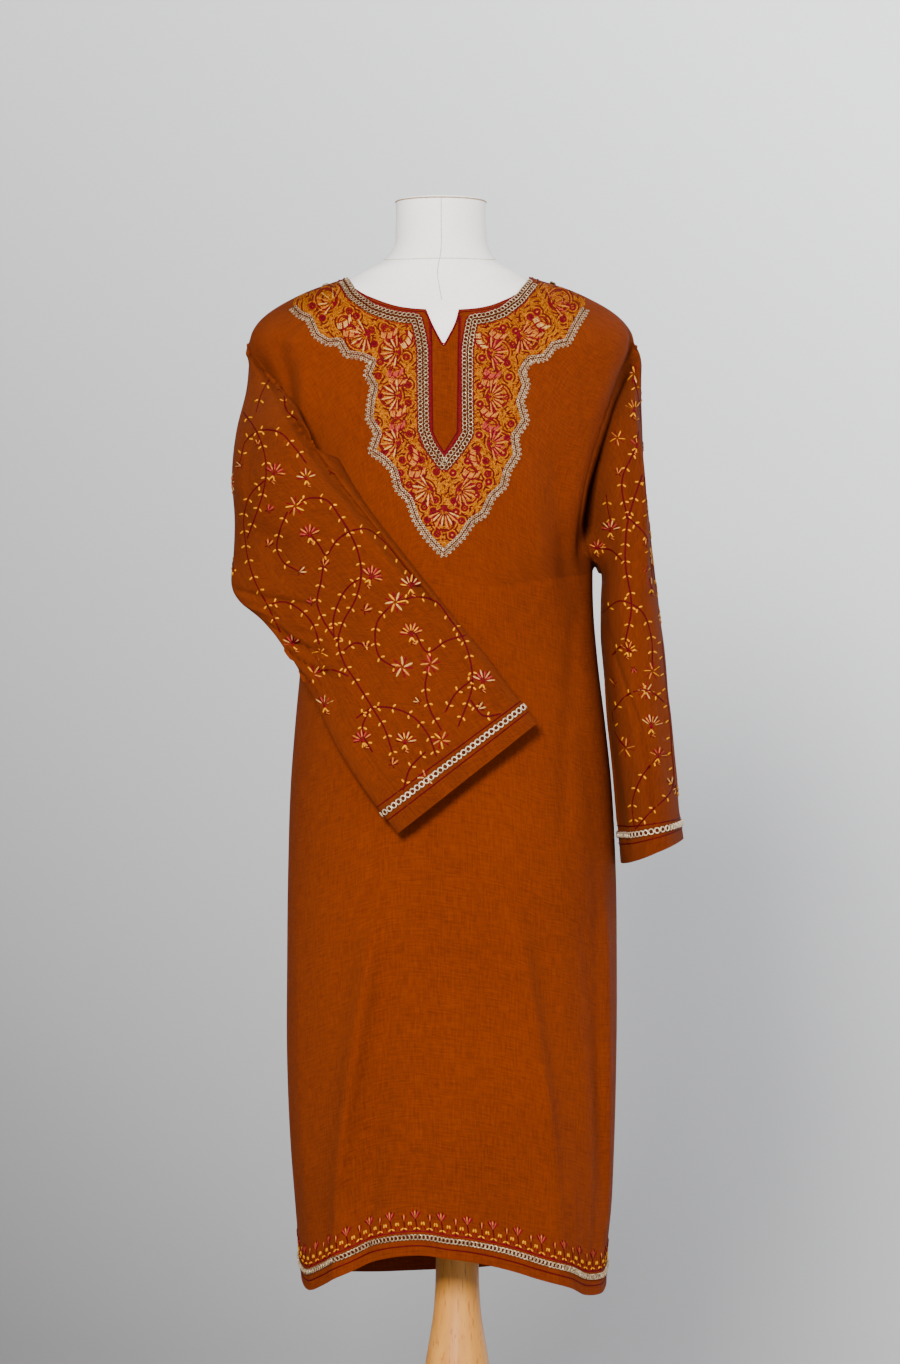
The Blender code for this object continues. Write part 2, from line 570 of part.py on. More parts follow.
Turn = namedtuple("Turn", "radius z")
POST = [Turn(0.0, BASE_TOP + SEAM), Turn(0.034, BASE_TOP + SEAM), Turn(0.036, 0.034), Turn(0.034, 0.042),
        Turn(0.029, 0.050), Turn(0.029, 0.058), Turn(0.034, 0.085), Turn(0.039, 0.125), Turn(0.0395, 0.160),
        Turn(0.0375, 0.195), Turn(0.0345, 0.225), Turn(0.0300, 0.252), Turn(0.0262, 0.278),
        Turn(0.0243, 0.305), Turn(0.0236, 0.335), Turn(0.0230, 0.400), Turn(0.0230, POST_TOP),
        Turn(0.0, POST_TOP)]
BASE = [Turn(0.0, 0.0), Turn(0.166, 0.0), Turn(0.170, 0.003), Turn(0.170, 0.012), Turn(0.166, 0.017),
        Turn(0.150, 0.020), Turn(0.146, 0.025), Turn(0.140, BASE_TOP), Turn(0.0, BASE_TOP)]


def turned(name, profile, steps, colour):
    """Wooden part turned on a lathe from its half profile."""
    mesh = bpy.data.meshes.new(name)
    count = len(profile)
    mesh.from_pydata([(p.radius, 0, p.z) for p in profile], [(k, k + 1) for k in range(count - 1)], [])
    obj = bpy.data.objects.new(name, mesh)
    pheran.objects.link(obj)
    spin = obj.modifiers.new("turn", "SCREW")
    spin.steps = steps
    spin.render_steps = steps
    spin.use_merge_vertices = True
    spin.merge_threshold = 0.00001
    spin.use_normal_calculate = True
    paint(obj, colour, 0.45)


for old in list(bpy.data.objects):
    bpy.data.objects.remove(old, do_unlink=True)
pheran = bpy.data.collections.new("pheran_on_form")
bpy.context.scene.collection.children.link(pheran)

panel("front", False)
panel("back", True)
sleeve("sleeve_right", SLEEVE_RIGHT, -1, 0.0050)
sleeve("sleeve_left", SLEEVE_LEFT, 1, 0.0020)
front_ribbon("neck_braid_front", NECK_PATH, NECK_BRAID_WIDE, 0.012)
neck_braid_back("neck_braid_back")
front_ribbon("yoke_border", YOKE_PATH, YOKE_BORDER_WIDE, 0.010)
hem_braid("hem_braid_front", False)
hem_braid("hem_braid_back", True)
cuff_braid("cuff_braid_right", SLEEVE_RIGHT, -1)
cuff_braid("cuff_braid_left", SLEEVE_LEFT, 1)
form_torso()
turned("stand_post", POST, 24, (0.42, 0.24, 0.11))
turned("stand_base", BASE, 36, (0.42, 0.24, 0.11))
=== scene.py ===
# %% [markdown]
# # A pheran on a dress form
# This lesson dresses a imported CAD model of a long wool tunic, a pheran, that rests on a limbless
# dress form with a turned wooden post. The CAD gives the sizes and the seams. Here we rebuild the
# cloth finely with the same rules, add the embroidery as real raised thread, and light it.

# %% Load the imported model
import bpy
import math
import numpy as np
from collections import namedtuple
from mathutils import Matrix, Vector
from mathutils.bvhtree import BVHTree


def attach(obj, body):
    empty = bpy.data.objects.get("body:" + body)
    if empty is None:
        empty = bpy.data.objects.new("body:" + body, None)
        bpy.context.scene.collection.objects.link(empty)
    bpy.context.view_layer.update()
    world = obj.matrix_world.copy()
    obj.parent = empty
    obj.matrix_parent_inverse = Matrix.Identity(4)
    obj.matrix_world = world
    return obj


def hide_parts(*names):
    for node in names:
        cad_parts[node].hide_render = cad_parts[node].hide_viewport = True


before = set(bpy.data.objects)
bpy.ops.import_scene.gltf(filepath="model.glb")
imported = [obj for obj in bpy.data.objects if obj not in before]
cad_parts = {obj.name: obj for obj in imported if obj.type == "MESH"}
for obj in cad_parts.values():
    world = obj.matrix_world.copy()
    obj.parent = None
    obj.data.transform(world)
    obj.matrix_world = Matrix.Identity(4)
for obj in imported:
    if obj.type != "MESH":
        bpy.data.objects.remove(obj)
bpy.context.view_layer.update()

# %% [markdown]
# The cloth is a wall 2 mm thick. Its shape comes from a few short tables that the CAD uses too: the
# body tube by height, the cut edges by angle, the armholes, the folds and the sleeve stations.
# Repeating them here lets the fine cloth pass through the very same places as the solid. Only the
# last two marks of the neck braid differ from the CAD's, to keep both rows of rings on the cloth.

# %% Sizes and tables shared with the CAD
WALL = 0.002
SEAM = 0.0003
SEAM_RISE = 0.0050
REST = 0.0008
SLIT_DEPTH = 0.040
SLIT_ANGLE = 6.5
ARMPIT = 0.7056
TIP = 0.9390
EYE_FAR = 4.5
EYE_X = -0.008
EYE_Z = 0.970

# The body tube by height: centre line, half widths, depths in front and behind, roundness power
Level = namedtuple("Level", "z centre right left front back power")
LEVELS = [
    Level(0.296, -0.003, 0.167, 0.167, 0.136, 0.140, 2.45),
    Level(0.336, -0.004, 0.169, 0.168, 0.137, 0.141, 2.45),
    Level(0.400, -0.004, 0.174, 0.174, 0.139, 0.141, 2.45),
    Level(0.466, -0.005, 0.178, 0.178, 0.140, 0.141, 2.45),
    Level(0.565, -0.006, 0.181, 0.181, 0.140, 0.141, 2.45),
    Level(0.664, -0.006, 0.181, 0.181, 0.139, 0.140, 2.45),
    Level(0.763, -0.006, 0.180, 0.180, 0.138, 0.137, 2.40),
    Level(0.862, -0.007, 0.176, 0.176, 0.136, 0.132, 2.35),
    Level(0.928, -0.008, 0.170, 0.170, 0.135, 0.127, 2.30),
    Level(0.994, -0.009, 0.163, 0.163, 0.135, 0.122, 2.30),
    Level(1.060, -0.010, 0.159, 0.159, 0.139, 0.119, 2.25),
    Level(1.120, -0.011, 0.161, 0.161, 0.143, 0.118, 2.25),
    Level(1.180, -0.012, 0.171, 0.170, 0.143, 0.117, 2.20),
    Level(1.240, -0.013, 0.185, 0.184, 0.130, 0.115, 2.15),
    Level(1.300, -0.014, 0.200, 0.200, 0.110, 0.110, 2.05),
    Level(1.340, -0.015, 0.214, 0.211, 0.093, 0.102, 1.95),
    Level(1.357, -0.015, 0.210, 0.206, 0.086, 0.096, 1.90),
    Level(1.372, -0.016, 0.197, 0.193, 0.079, 0.088, 1.82),
    Level(1.388, -0.018, 0.171, 0.169, 0.070, 0.080, 1.72),
    Level(1.401, -0.020, 0.142, 0.143, 0.063, 0.072, 1.66),
    Level(1.4155, -0.022, 0.099, 0.101, 0.058, 0.064, 1.70),
    Level(1.425, -0.021, 0.083, 0.084, 0.056, 0.061, 1.85),
    Level(1.434, -0.019, 0.067, 0.066, 0.055, 0.059, 1.95),
    Level(1.445, -0.018, 0.057, 0.057, 0.055, 0.058, 2.00),
    Level(1.470, -0.018, 0.053, 0.053, 0.054, 0.057, 2.00),
    Level(1.515, -0.018, 0.0535, 0.0535, 0.054, 0.057, 2.00),
]

# Heights of the cut edges by angle round the body, from the front centre to each side
Edge = namedtuple("Edge", "angle height")
HEM_FRONT = [Edge(-90, 0.321), Edge(-66, 0.311), Edge(-55, 0.319), Edge(-39, 0.335), Edge(-26, 0.350),
             Edge(-15, 0.357), Edge(-6, 0.358), Edge(0, 0.354), Edge(6, 0.350), Edge(16, 0.342),
             Edge(28, 0.331), Edge(44, 0.319), Edge(57, 0.308), Edge(68, 0.306), Edge(90, 0.3144)]
HEM_BACK = [Edge(-90, 0.321), Edge(-60, 0.311), Edge(-30, 0.304), Edge(0, 0.305), Edge(25, 0.313),
            Edge(60, 0.317), Edge(90, 0.3144)]
NECK_FRONT = [Edge(-90, 1.4155), Edge(-65, 1.411), Edge(-44, 1.400), Edge(-29, 1.387), Edge(-15, 1.3755),
              Edge(0, 1.3725), Edge(15, 1.3755), Edge(29, 1.387), Edge(44, 1.400), Edge(65, 1.411),
              Edge(90, 1.4155)]
NECK_BACK = [Edge(-90, 1.4155), Edge(-60, 1.411), Edge(-30, 1.402), Edge(0, 1.399), Edge(30, 1.402),
             Edge(60, 1.411), Edge(90, 1.4155)]

# How far each armhole edge lies in from the side, in degrees, from armpit to shoulder tip
ArmholeRow = namedtuple("ArmholeRow", "part front back")
ARMHOLE = [ArmholeRow(0.00, 0, 0), ArmholeRow(0.06, 17, 14), ArmholeRow(0.14, 26, 22),
           ArmholeRow(0.24, 31, 26), ArmholeRow(0.36, 32, 26), ArmholeRow(0.50, 30, 24),
           ArmholeRow(0.64, 26, 21), ArmholeRow(0.78, 20, 16), ArmholeRow(0.90, 12, 10),
           ArmholeRow(1.00, 0, 0)]

# Soft folds of the body cloth: where each begins and ends (angle, height), how high and how wide
Fold = namedtuple("Fold", "top_angle top_z low_angle low_z rise wide")
FOLDS = [
    Fold(-24, 0.66, -45, 0.31, 0.0045, 7.5),
    Fold(-14, 0.64, -30, 0.36, -0.0040, 7.0),
    Fold(18, 0.70, 40, 0.31, 0.0045, 7.0),
    Fold(30, 0.66, 55, 0.33, -0.0030, 6.0),
    Fold(150, 0.72, 130, 0.31, 0.0040, 8.0),
    Fold(198, 0.80, 205, 0.31, -0.0030, 8.0),
    Fold(228, 0.68, 240, 0.31, 0.0040, 8.0),
]

# Sleeve stations: outer line and inner line of the sleeve as seen from the front in the plane y = 0,
# the depth of each line, half the thickness of the tube, how far the ring is rolled in degrees and
# how far its front laps over the front panel
Station = namedtuple("Station", "outer_x outer_z inner_x inner_z outer_y inner_y half roll lap",
                     defaults=[0.0])
SLEEVE_LEFT = [
    Station(0.198, 1.344, 0.150, 1.091, 0.000, 0.000, 0.090, 0),
    Station(0.201, 1.326, 0.156, 1.090, 0.000, 0.000, 0.090, 0),
    Station(0.2015, 1.295, 0.159, 1.087, 0.000, 0.000, 0.090, 0),
    Station(0.2035, 1.247, 0.160, 1.082, 0.000, 0.000, 0.090, 0),
    Station(0.207, 1.192, 0.159, 1.073, 0.000, 0.000, 0.091, 0),
    Station(0.2125, 1.137, 0.158, 1.060, 0.000, 0.000, 0.092, 0),
    Station(0.218, 1.088, 0.158, 1.038, 0.000, 0.000, 0.092, 0),
    Station(0.2225, 1.044, 0.159, 1.011, 0.000, -0.002, 0.091, 0),
    Station(0.228, 0.994, 0.162, 0.978, -0.002, -0.004, 0.090, 0),
    Station(0.232, 0.939, 0.165, 0.939, -0.004, -0.006, 0.089, 0),
    Station(0.2365, 0.884, 0.1695, 0.894, -0.006, -0.008, 0.088, 0),
    Station(0.242, 0.835, 0.1750, 0.832, -0.008, -0.010, 0.087, 0),
    Station(0.2475, 0.799, 0.180, 0.771, -0.010, -0.012, 0.086, 0),
]
SLEEVE_RIGHT = [
    Station(-0.2280, 1.344, -0.171, 1.091, 0.000, 0.000, 0.090, 0, 0.000),
    Station(-0.2290, 1.332, -0.176, 1.140, -0.004, -0.045, 0.090, 6, 0.012),
    Station(-0.2275, 1.302, -0.171, 1.198, -0.014, -0.085, 0.084, 14, 0.018),
    Station(-0.2265, 1.247, -0.160, 1.222, -0.020, -0.118, 0.070, 24, 0.013),
    Station(-0.2280, 1.192, -0.1485, 1.213, -0.026, -0.138, 0.056, 34, 0.004),
    Station(-0.2350, 1.137, -0.124, 1.186, -0.038, -0.149, 0.044, 41, 0.000),
    Station(-0.2450, 1.082, -0.0785, 1.133, -0.052, -0.155, 0.034, 45, 0.000),
    Station(-0.2380, 1.059, -0.0475, 1.095, -0.068, -0.157, 0.028, 45, 0.000),
    Station(-0.2080, 1.032, -0.0205, 1.062, -0.092, -0.158, 0.023, 45, 0.000),
    Station(-0.1825, 0.998, -0.0050, 1.043, -0.113, -0.159, 0.020, 45, 0.000),
    Station(-0.1620, 0.961, 0.0090, 1.026, -0.128, -0.159, 0.018, 45, 0.000),
    Station(-0.1365, 0.906, 0.031, 1.000, -0.142, -0.158, 0.017, 45, 0.000),
    Station(-0.1110, 0.864, 0.053, 0.970, -0.152, -0.156, 0.016, 45, 0.000),
    Station(-0.0870, 0.831, 0.070, 0.948, -0.158, -0.153, 0.0155, 45, 0.000),
    Station(-0.0660, 0.803, 0.088, 0.925, -0.160, -0.150, 0.015, 45, 0.000),
]

# Middle line of the neck braid and of the yoke border, as seen from the front in the plane y = 0
Mark = namedtuple("Mark", "x z")
NECK_PATH = [Mark(-0.1245, 1.4105), Mark(-0.1144, 1.3946), Mark(-0.0946, 1.3803), Mark(-0.0748, 1.3732),
             Mark(-0.0594, 1.3704), Mark(-0.0450, 1.3693), Mark(-0.0405, 1.3517), Mark(-0.0380, 1.3352),
             Mark(-0.0374, 1.2802), Mark(-0.0369, 1.2472), Mark(-0.0297, 1.2285), Mark(-0.0143, 1.2076),
             Mark(0.0011, 1.2263), Mark(0.0116, 1.2428), Mark(0.0110, 1.2802), Mark(0.0110, 1.3352),
             Mark(0.0132, 1.3517), Mark(0.0165, 1.3682), Mark(0.0330, 1.3704), Mark(0.0495, 1.3759),
             Mark(0.0672, 1.3896), Mark(0.0820, 1.4075)]
YOKE_PATH = [Mark(-0.1800, 1.3820), Mark(-0.1735, 1.3750), Mark(-0.1620, 1.3700), Mark(-0.1545, 1.3520),
             Mark(-0.1420, 1.3440), Mark(-0.1290, 1.3450), Mark(-0.1210, 1.3310), Mark(-0.1050, 1.3290),
             Mark(-0.0920, 1.3230), Mark(-0.0980, 1.3080), Mark(-0.0900, 1.2950), Mark(-0.0935, 1.2820),
             Mark(-0.0960, 1.2600), Mark(-0.0860, 1.2440), Mark(-0.0930, 1.2240), Mark(-0.0800, 1.2150),
             Mark(-0.0690, 1.2030), Mark(-0.0640, 1.1830), Mark(-0.0520, 1.1710), Mark(-0.0440, 1.1480),
             Mark(-0.0320, 1.1300), Mark(-0.0154, 1.1120), Mark(0.0040, 1.1300), Mark(0.0150, 1.1470),
             Mark(0.0290, 1.1560), Mark(0.0370, 1.1740), Mark(0.0500, 1.1860), Mark(0.0540, 1.2030),
             Mark(0.0650, 1.2200), Mark(0.0620, 1.2400), Mark(0.0740, 1.2570), Mark(0.0680, 1.2790),
             Mark(0.0750, 1.2960), Mark(0.0700, 1.3110), Mark(0.0790, 1.3250), Mark(0.0950, 1.3270),
             Mark(0.1060, 1.3410), Mark(0.1200, 1.3440), Mark(0.1290, 1.3620), Mark(0.1400, 1.3800)]


# %% [markdown]
# A smooth line through a few measured points saves long lists of numbers. `shape` turns an angle
# round the body and a height into a point of the tube, and `skin` moves it out along its normal,
# so the same function gives the outer face, the inner face and anything that lies on the cloth.

# %% Helpers for smooth lines and the body tube
def curve(xs, ys, x):
    xs = np.asarray(xs, float)
    ys = np.asarray(ys, float)
    slope = np.gradient(ys, xs)
    x = np.clip(x, xs[0], xs[-1])
    i = np.clip(np.searchsorted(xs, x) - 1, 0, len(xs) - 2)
    step = xs[i + 1] - xs[i]
    t = (x - xs[i]) / step
    start = (2 * t ** 3 - 3 * t ** 2 + 1) * ys[i] + (t ** 3 - 2 * t ** 2 + t) * step * slope[i]
    end = (3 * t ** 2 - 2 * t ** 3) * ys[i + 1] + (t ** 3 - t ** 2) * step * slope[i + 1]
    return start + end


def column(table, name):
    return [getattr(entry, name) for entry in table]


def smooth(t):
    t = np.clip(t, 0.0, 1.0)
    return t * t * (3 - 2 * t)


def unit(vectors):
    return vectors / np.maximum(np.linalg.norm(vectors, axis=-1, keepdims=True), 1e-12)


def run_length(points):
    return np.concatenate([[0], np.cumsum(np.linalg.norm(np.diff(points, axis=0), axis=1))])


def level_values(z):
    heights = column(LEVELS, "z")
    return {name: curve(heights, column(LEVELS, name), z) for name in Level._fields[1:]}


def shape(angle, z):
    value = level_values(z)
    across = np.sin(np.radians(angle))
    along = np.cos(np.radians(angle))
    half = np.where(across < 0, value["right"], value["left"])
    deep = np.where(along > 0, value["front"], value["back"])
    x = value["centre"] + half * np.sign(across) * np.abs(across) ** (2 / value["power"])
    y = -deep * np.sign(along) * np.abs(along) ** (2 / value["power"])
    return np.stack([x, y, z + 0 * x], axis=-1)


# %% [markdown]
# Worn wool hangs in a few long soft folds and many faint ones. The long folds are the CAD's. Two more
# lists are added here: FAINT holds short pressed creases that run across the cloth, a millimetre or so
# high, and SOFT holds folds that run down it, from the bust, beside the armholes and in the skirt.

# %% Folds of the body cloth
FAINT = [
    Fold(-24, 0.690, 10, 0.668, 0.0016, 0.008),
    Fold(-30, 0.655, -8, 0.640, 0.0015, 0.007),
    Fold(12, 0.600, 36, 0.588, 0.0006, 0.012),
    Fold(160, 0.700, 196, 0.684, 0.0008, 0.012),
    Fold(205, 0.800, 228, 0.770, 0.0008, 0.014),
]
SOFT = [
    Fold(84, 1.350, 66, 1.10, -0.0130, 7.0),
    Fold(62, 1.330, 50, 1.13, 0.0050, 8.0),
    Fold(-23, 0.70, -44, 0.31, 0.0055, 4.2),
    Fold(-16, 0.66, -31, 0.34, -0.0060, 4.6),
    Fold(17, 0.73, 33, 0.46, 0.0050, 4.2),
    Fold(24, 0.70, 42, 0.36, -0.0055, 4.5),
    Fold(-2, 0.66, 4, 0.34, 0.0022, 8.0),
    Fold(64, 0.74, 72, 0.32, 0.0034, 4.0),
    Fold(57, 0.74, 62, 0.32, -0.0030, 4.0),
    Fold(52, 1.02, 60, 0.72, -0.0016, 6.0),
    Fold(-66, 0.74, -62, 0.34, 0.0014, 5.0),
    Fold(8, 1.04, 3, 0.72, 0.0010, 7.0),
    Fold(-46, 1.352, -52, 1.25, 0.0042, 4.5),
    Fold(-57, 1.345, -62, 1.23, -0.0042, 4.2),
    Fold(40, 1.22, 56, 1.06, -0.0050, 6.0),
    Fold(28, 1.20, 42, 1.05, 0.0034, 6.0),
    Fold(120, 1.10, 132, 0.76, 0.0022, 6.5),
    Fold(172, 1.20, 176, 0.84, -0.0018, 8.0),
    Fold(232, 1.06, 224, 0.76, 0.0022, 7.0),
    Fold(150, 1.32, 134, 1.16, 0.0020, 7.0),
    Fold(212, 1.32, 226, 1.16, 0.0020, 7.0),
]


def fold_rise(angle, z):
    total = 0 * z
    for f in FOLDS:
        part = (f.top_z - z) / (f.top_z - f.low_z)
        middle = f.top_angle + (f.low_angle - f.top_angle) * part
        away = (np.mod(angle - middle + 180, 360) - 180) / f.wide
        total = total + f.rise * smooth(part * 2.5) * np.exp(-away ** 2)
    return total


def faint_rise(angle, z):
    total = 0 * z
    for f in SOFT:
        part = (f.top_z - z) / (f.top_z - f.low_z)
        middle = f.top_angle + (f.low_angle - f.top_angle) * part
        away = (np.mod(angle - middle + 180, 360) - 180) / f.wide
        total = total + f.rise * np.exp(-away ** 2) * smooth(part * 3 + 0.4) * smooth((1 - part) * 3 + 0.4)
    for f in FAINT:
        part = np.mod(angle - f.top_angle + 90, 360) - 90
        part = part / (f.low_angle - f.top_angle)
        height = f.top_z + (f.low_z - f.top_z) * part
        ends = smooth(part * 4) * smooth((1 - part) * 4)
        total = total + f.rise * ends * np.exp(-((z - height) / f.wide) ** 2)
    drift = np.sin(np.radians(angle) * 3 + 9 * z) * np.sin(7.3 * z + 1.1)
    drift = drift + 0.6 * np.sin(np.radians(angle) * 7 - 13 * z + 0.7) * smooth((1.25 - z) * 4)
    return total + 0.0005 * drift


def skin(angle, z, lift=0.0, fine=1.0):
    d = 0.2
    e = 0.001
    round_it = shape(angle + d, z) - shape(angle - d, z)
    normal = unit(np.cross(round_it, shape(angle, z + e) - shape(angle, z - e)))
    seam = np.isclose(np.abs(angle), 90)[..., None] & np.array([False, True, False])
    normal = unit(np.where(seam, 0.0, normal))
    rise = fold_rise(angle, z) + fine * faint_rise(angle, z) + lift
    return shape(angle, z) + normal * rise[..., None]


# %% [markdown]
# Some creases are easier to place where the picture shows them. The picture's own grid is used, 900
# by 1364 steps, with 1.1 mm to a step in the plane through the body's middle. A pressed line is a run
# of places in that grid. The cloth moves away from the eye along it by `depth`, and the two widths
# say how quickly this fades on the left and on the right of the line, in steps.

# %% Creases placed in the picture
PITCH = 0.0011
MIDDLE_X = 457
MIDDLE_Y = 682
Press = namedtuple("Press", "line depth left right")
FRONT_PRESS = [
    Press([(250, 346), (262, 364), (277, 388), (294, 416), (312, 444)], 0.0050, 3.0, 4.0),
    Press([(302, 330), (297, 352), (291, 376), (288, 400)], 0.0030, 5.0, 5.0),
    Press([(322, 946), (400, 955), (470, 958), (540, 952), (596, 944)], 0.0022, 3.5, 3.5),
    Press([(322, 976), (400, 985), (500, 987), (560, 980)], 0.0018, 3.5, 3.5),
    Press([(378, 920), (362, 1010), (346, 1110), (328, 1225)], -0.0085, 17.0, 7.0),
    Press([(519, 915), (535, 1020), (553, 1120), (570, 1250)], -0.0075, 7.0, 17.0),
    Press([(583, 900), (590, 1000), (600, 1130), (606, 1240)], 0.0050, 6.0, 6.0),
    Press([(350, 690), (345, 760), (342, 830)], -0.0030, 10.0, 10.0),
    Press([(585, 560), (572, 640), (566, 740), (564, 860)], 0.0040, 8.0, 9.0),
]
RIGHT_PRESS = [
    Press([(250, 346), (262, 364), (277, 388), (294, 416), (312, 444)], 0.0090, 5.0, 3.0),
    Press([(274, 386), (292, 418), (316, 454), (342, 488), (370, 524), (397, 558), (424, 592), (452, 628)],
          0.0085, 6.0, 2.0),
    Press([(262, 404), (280, 436), (306, 474), (336, 514), (368, 556)], -0.0030, 5.0, 4.0),
    Press([(274, 622), (290, 638), (308, 648), (330, 652)], 0.0070, 3.0, 2.0),
    Press([(283, 646), (298, 660), (318, 670), (338, 676)], 0.0080, 3.5, 2.0),
    Press([(292, 668), (308, 680), (326, 688)], 0.0050, 3.0, 2.0),
    Press([(262, 606), (276, 618), (296, 622)], 0.0050, 3.0, 3.0),
    Press([(246, 420), (250, 470), (247, 520)], 0.0040, 6.0, 8.0),
    Press([(330, 600), (352, 660), (386, 730), (420, 790)], 0.0016, 14.0, 10.0),
]
LEFT_PRESS = [
    Press([(631, 346), (620, 364), (607, 385), (597, 410), (591, 434), (586, 467), (584, 500), (584, 530),
           (587, 556)], 0.0600, 8.0, 18.0),
    Press([(600, 590), (606, 622), (617, 660), (630, 697), (642, 730), (650, 770), (656, 836)],
          0.0045, 4.5, 1.3),
    Press([(596, 600), (602, 650), (608, 700), (616, 760), (625, 826), (630, 862)], 0.0260, 26.0, 1.6),
    Press([(640, 460), (646, 540), (656, 620), (666, 700)], -0.0025, 7.0, 7.0),
]


def picture(points):
    near = EYE_FAR / (EYE_FAR + points[..., 1])
    px = MIDDLE_X + (EYE_X + (points[..., 0] - EYE_X) * near) / PITCH
    return px, MIDDLE_Y - (points[..., 2] - EYE_Z) * near / PITCH


# How far each point moves away from the eye under a list of pressed lines
def pressed(points, lines, facing):
    px, py = picture(points)
    total = 0 * px
    for p in lines:
        marks = np.array(p.line, float)
        length = np.linalg.norm(np.diff(marks, axis=0), axis=1)
        walked = np.concatenate([[0], np.cumsum(length)]) / length.sum()
        best = np.full(px.shape, 1e9)
        signed = 0 * px
        place = 0 * px
        for k in range(len(length)):
            run = (marks[k + 1] - marks[k]) / length[k]
            s = np.clip((px - marks[k, 0]) * run[0] + (py - marks[k, 1]) * run[1], 0, length[k])
            dx = px - marks[k, 0] - s * run[0]
            dy = py - marks[k, 1] - s * run[1]
            away = np.hypot(dx, dy)
            nearer = away < best
            best = np.where(nearer, away, best)
            signed = np.where(nearer, np.sign(dx + 1e-9) * away, signed)
            place = np.where(nearer, walked[k] + s / length[k] * (walked[k + 1] - walked[k]), place)
        ends = smooth(place * 6 + 0.02) * smooth((1 - place) * 6 + 0.02)
        total += p.depth * ends * np.exp(-(signed / np.where(signed < 0, p.left, p.right)) ** 2)
    return total * facing


# %% Rows, cut edges and panel grids
LOW_FINE = 110
ARM_FINE = 66
TOP_FINE = 18
COLUMNS_FINE = np.unique(np.concatenate([np.linspace(-90, 90, 121), [-SLIT_ANGLE, 0, SLIT_ANGLE],
                                         np.linspace(-SLIT_ANGLE, SLIT_ANGLE, 13)]))


def edge_height(table, angle):
    return curve(column(table, "angle"), column(table, "height"), angle)


def rows():
    low = np.linspace(0, ARMPIT, LOW_FINE + 1)
    arm = np.linspace(ARMPIT, TIP, ARM_FINE + 1)
    top = np.linspace(TIP, 1, TOP_FINE + 1)
    return np.concatenate([low, arm[1:], top[1:]])


# %% Panel places at any row and column
def panel_points(part, across, back, lift=0.0):
    hem = edge_height(HEM_BACK if back else HEM_FRONT, across)
    neck = edge_height(NECK_BACK if back else NECK_FRONT, across)
    z = hem + (neck - hem) * part
    if not back:
        slit = np.clip(1 - np.abs(across) / SLIT_ANGLE, 0, 1)
        z = z - SLIT_DEPTH * slit * smooth((part - 0.80) / 0.20)
    rise = (part - ARMPIT) / (TIP - ARMPIT)
    inset = curve(column(ARMHOLE, "part"), column(ARMHOLE, "back" if back else "front"), rise)
    inset = np.where((rise <= 0) | (rise >= 1), 0.0, inset)
    angle = across * (90 - inset) / 90
    angle = 180 - angle if back else angle
    angle = np.where(angle > 180, angle - 360, angle)
    points = skin(angle, z, lift + 0 * z)
    if not back:
        points[..., 1] += pressed(points, FRONT_PRESS, smooth((84 - np.abs(angle)) / 14))
    on_seam = np.isclose(np.abs(np.abs(angle) - 90) % 180, 0)
    points[..., 1] = np.where(on_seam, SEAM / 2 if back else -SEAM / 2, points[..., 1])
    return points


def panel_grid(back, lift, columns=COLUMNS_FINE):
    part, across = np.meshgrid(rows(), columns, indexing="ij")
    return panel_points(part, across, back, lift)


# %% [markdown]
# Every piece of cloth is closed in the same way: an outer grid, an inner grid 2 mm behind it and
# narrow strips along the cut edges. A sleeve's grid closes round into a ring and stays open at the
# cuff and at the armhole.

# %% Mesh helpers
def add_object(name, points, faces, material=None):
    mesh = bpy.data.meshes.new(name)
    mesh.from_pydata(np.asarray(points).reshape(-1, 3).tolist(), [], faces)
    mesh.shade_smooth()
    obj = bpy.data.objects.new(name, mesh)
    bpy.context.scene.collection.objects.link(obj)
    if material is not None:
        mesh.materials.append(material)
    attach(obj, "root")
    return obj


def grid_faces(index):
    a = index[:-1, :-1]
    b = index[:-1, 1:]
    c = index[1:, 1:]
    d = index[1:, :-1]
    return np.stack([a, b, c, d], axis=-1).reshape(-1, 4).tolist()


def walled(name, outer, inner, material, ring=False, flip=False):
    m, n = outer.shape[:2]
    o = np.arange(m * n).reshape(m, n)
    if ring:
        o = np.concatenate([o, o[:, :1]], axis=1)
    i = o + m * n
    faces = grid_faces(o) + grid_faces(i[:, ::-1])
    faces += grid_faces(np.stack([i[0], o[0]])) + grid_faces(np.stack([o[-1], i[-1]]))
    if not ring:
        faces += grid_faces(np.stack([o[:, 0], i[:, 0]])) + grid_faces(np.stack([i[:, -1], o[:, -1]]))
    if flip:
        faces = [f[::-1] for f in faces]
    obj = add_object(name, np.concatenate([outer.reshape(-1, 3), inner.reshape(-1, 3)]), faces, material)
    obj.data.set_sharp_from_angle(angle=math.radians(60))
    return obj


# %% Sleeve rings
SLEEVE_FINE = 128


def toward_eye(x, y, z):
    near = (EYE_FAR + y) / EYE_FAR
    return np.stack([EYE_X + (x - EYE_X) * near, y + 0 * x, EYE_Z + (z - EYE_Z) * near], axis=-1)


def armhole_loop(side, lift):
    edge = np.array([90.0 * side])
    front = panel_grid(False, lift, edge)[LOW_FINE:LOW_FINE + ARM_FINE + 1, 0]
    back = panel_grid(True, lift, edge)[LOW_FINE:LOW_FINE + ARM_FINE + 1, 0]
    tip = (front[-1] + back[-1]) / 2
    armpit = (front[0] + back[0]) / 2
    return np.concatenate([[tip], front[-2:0:-1], [armpit], back[1:-1]])


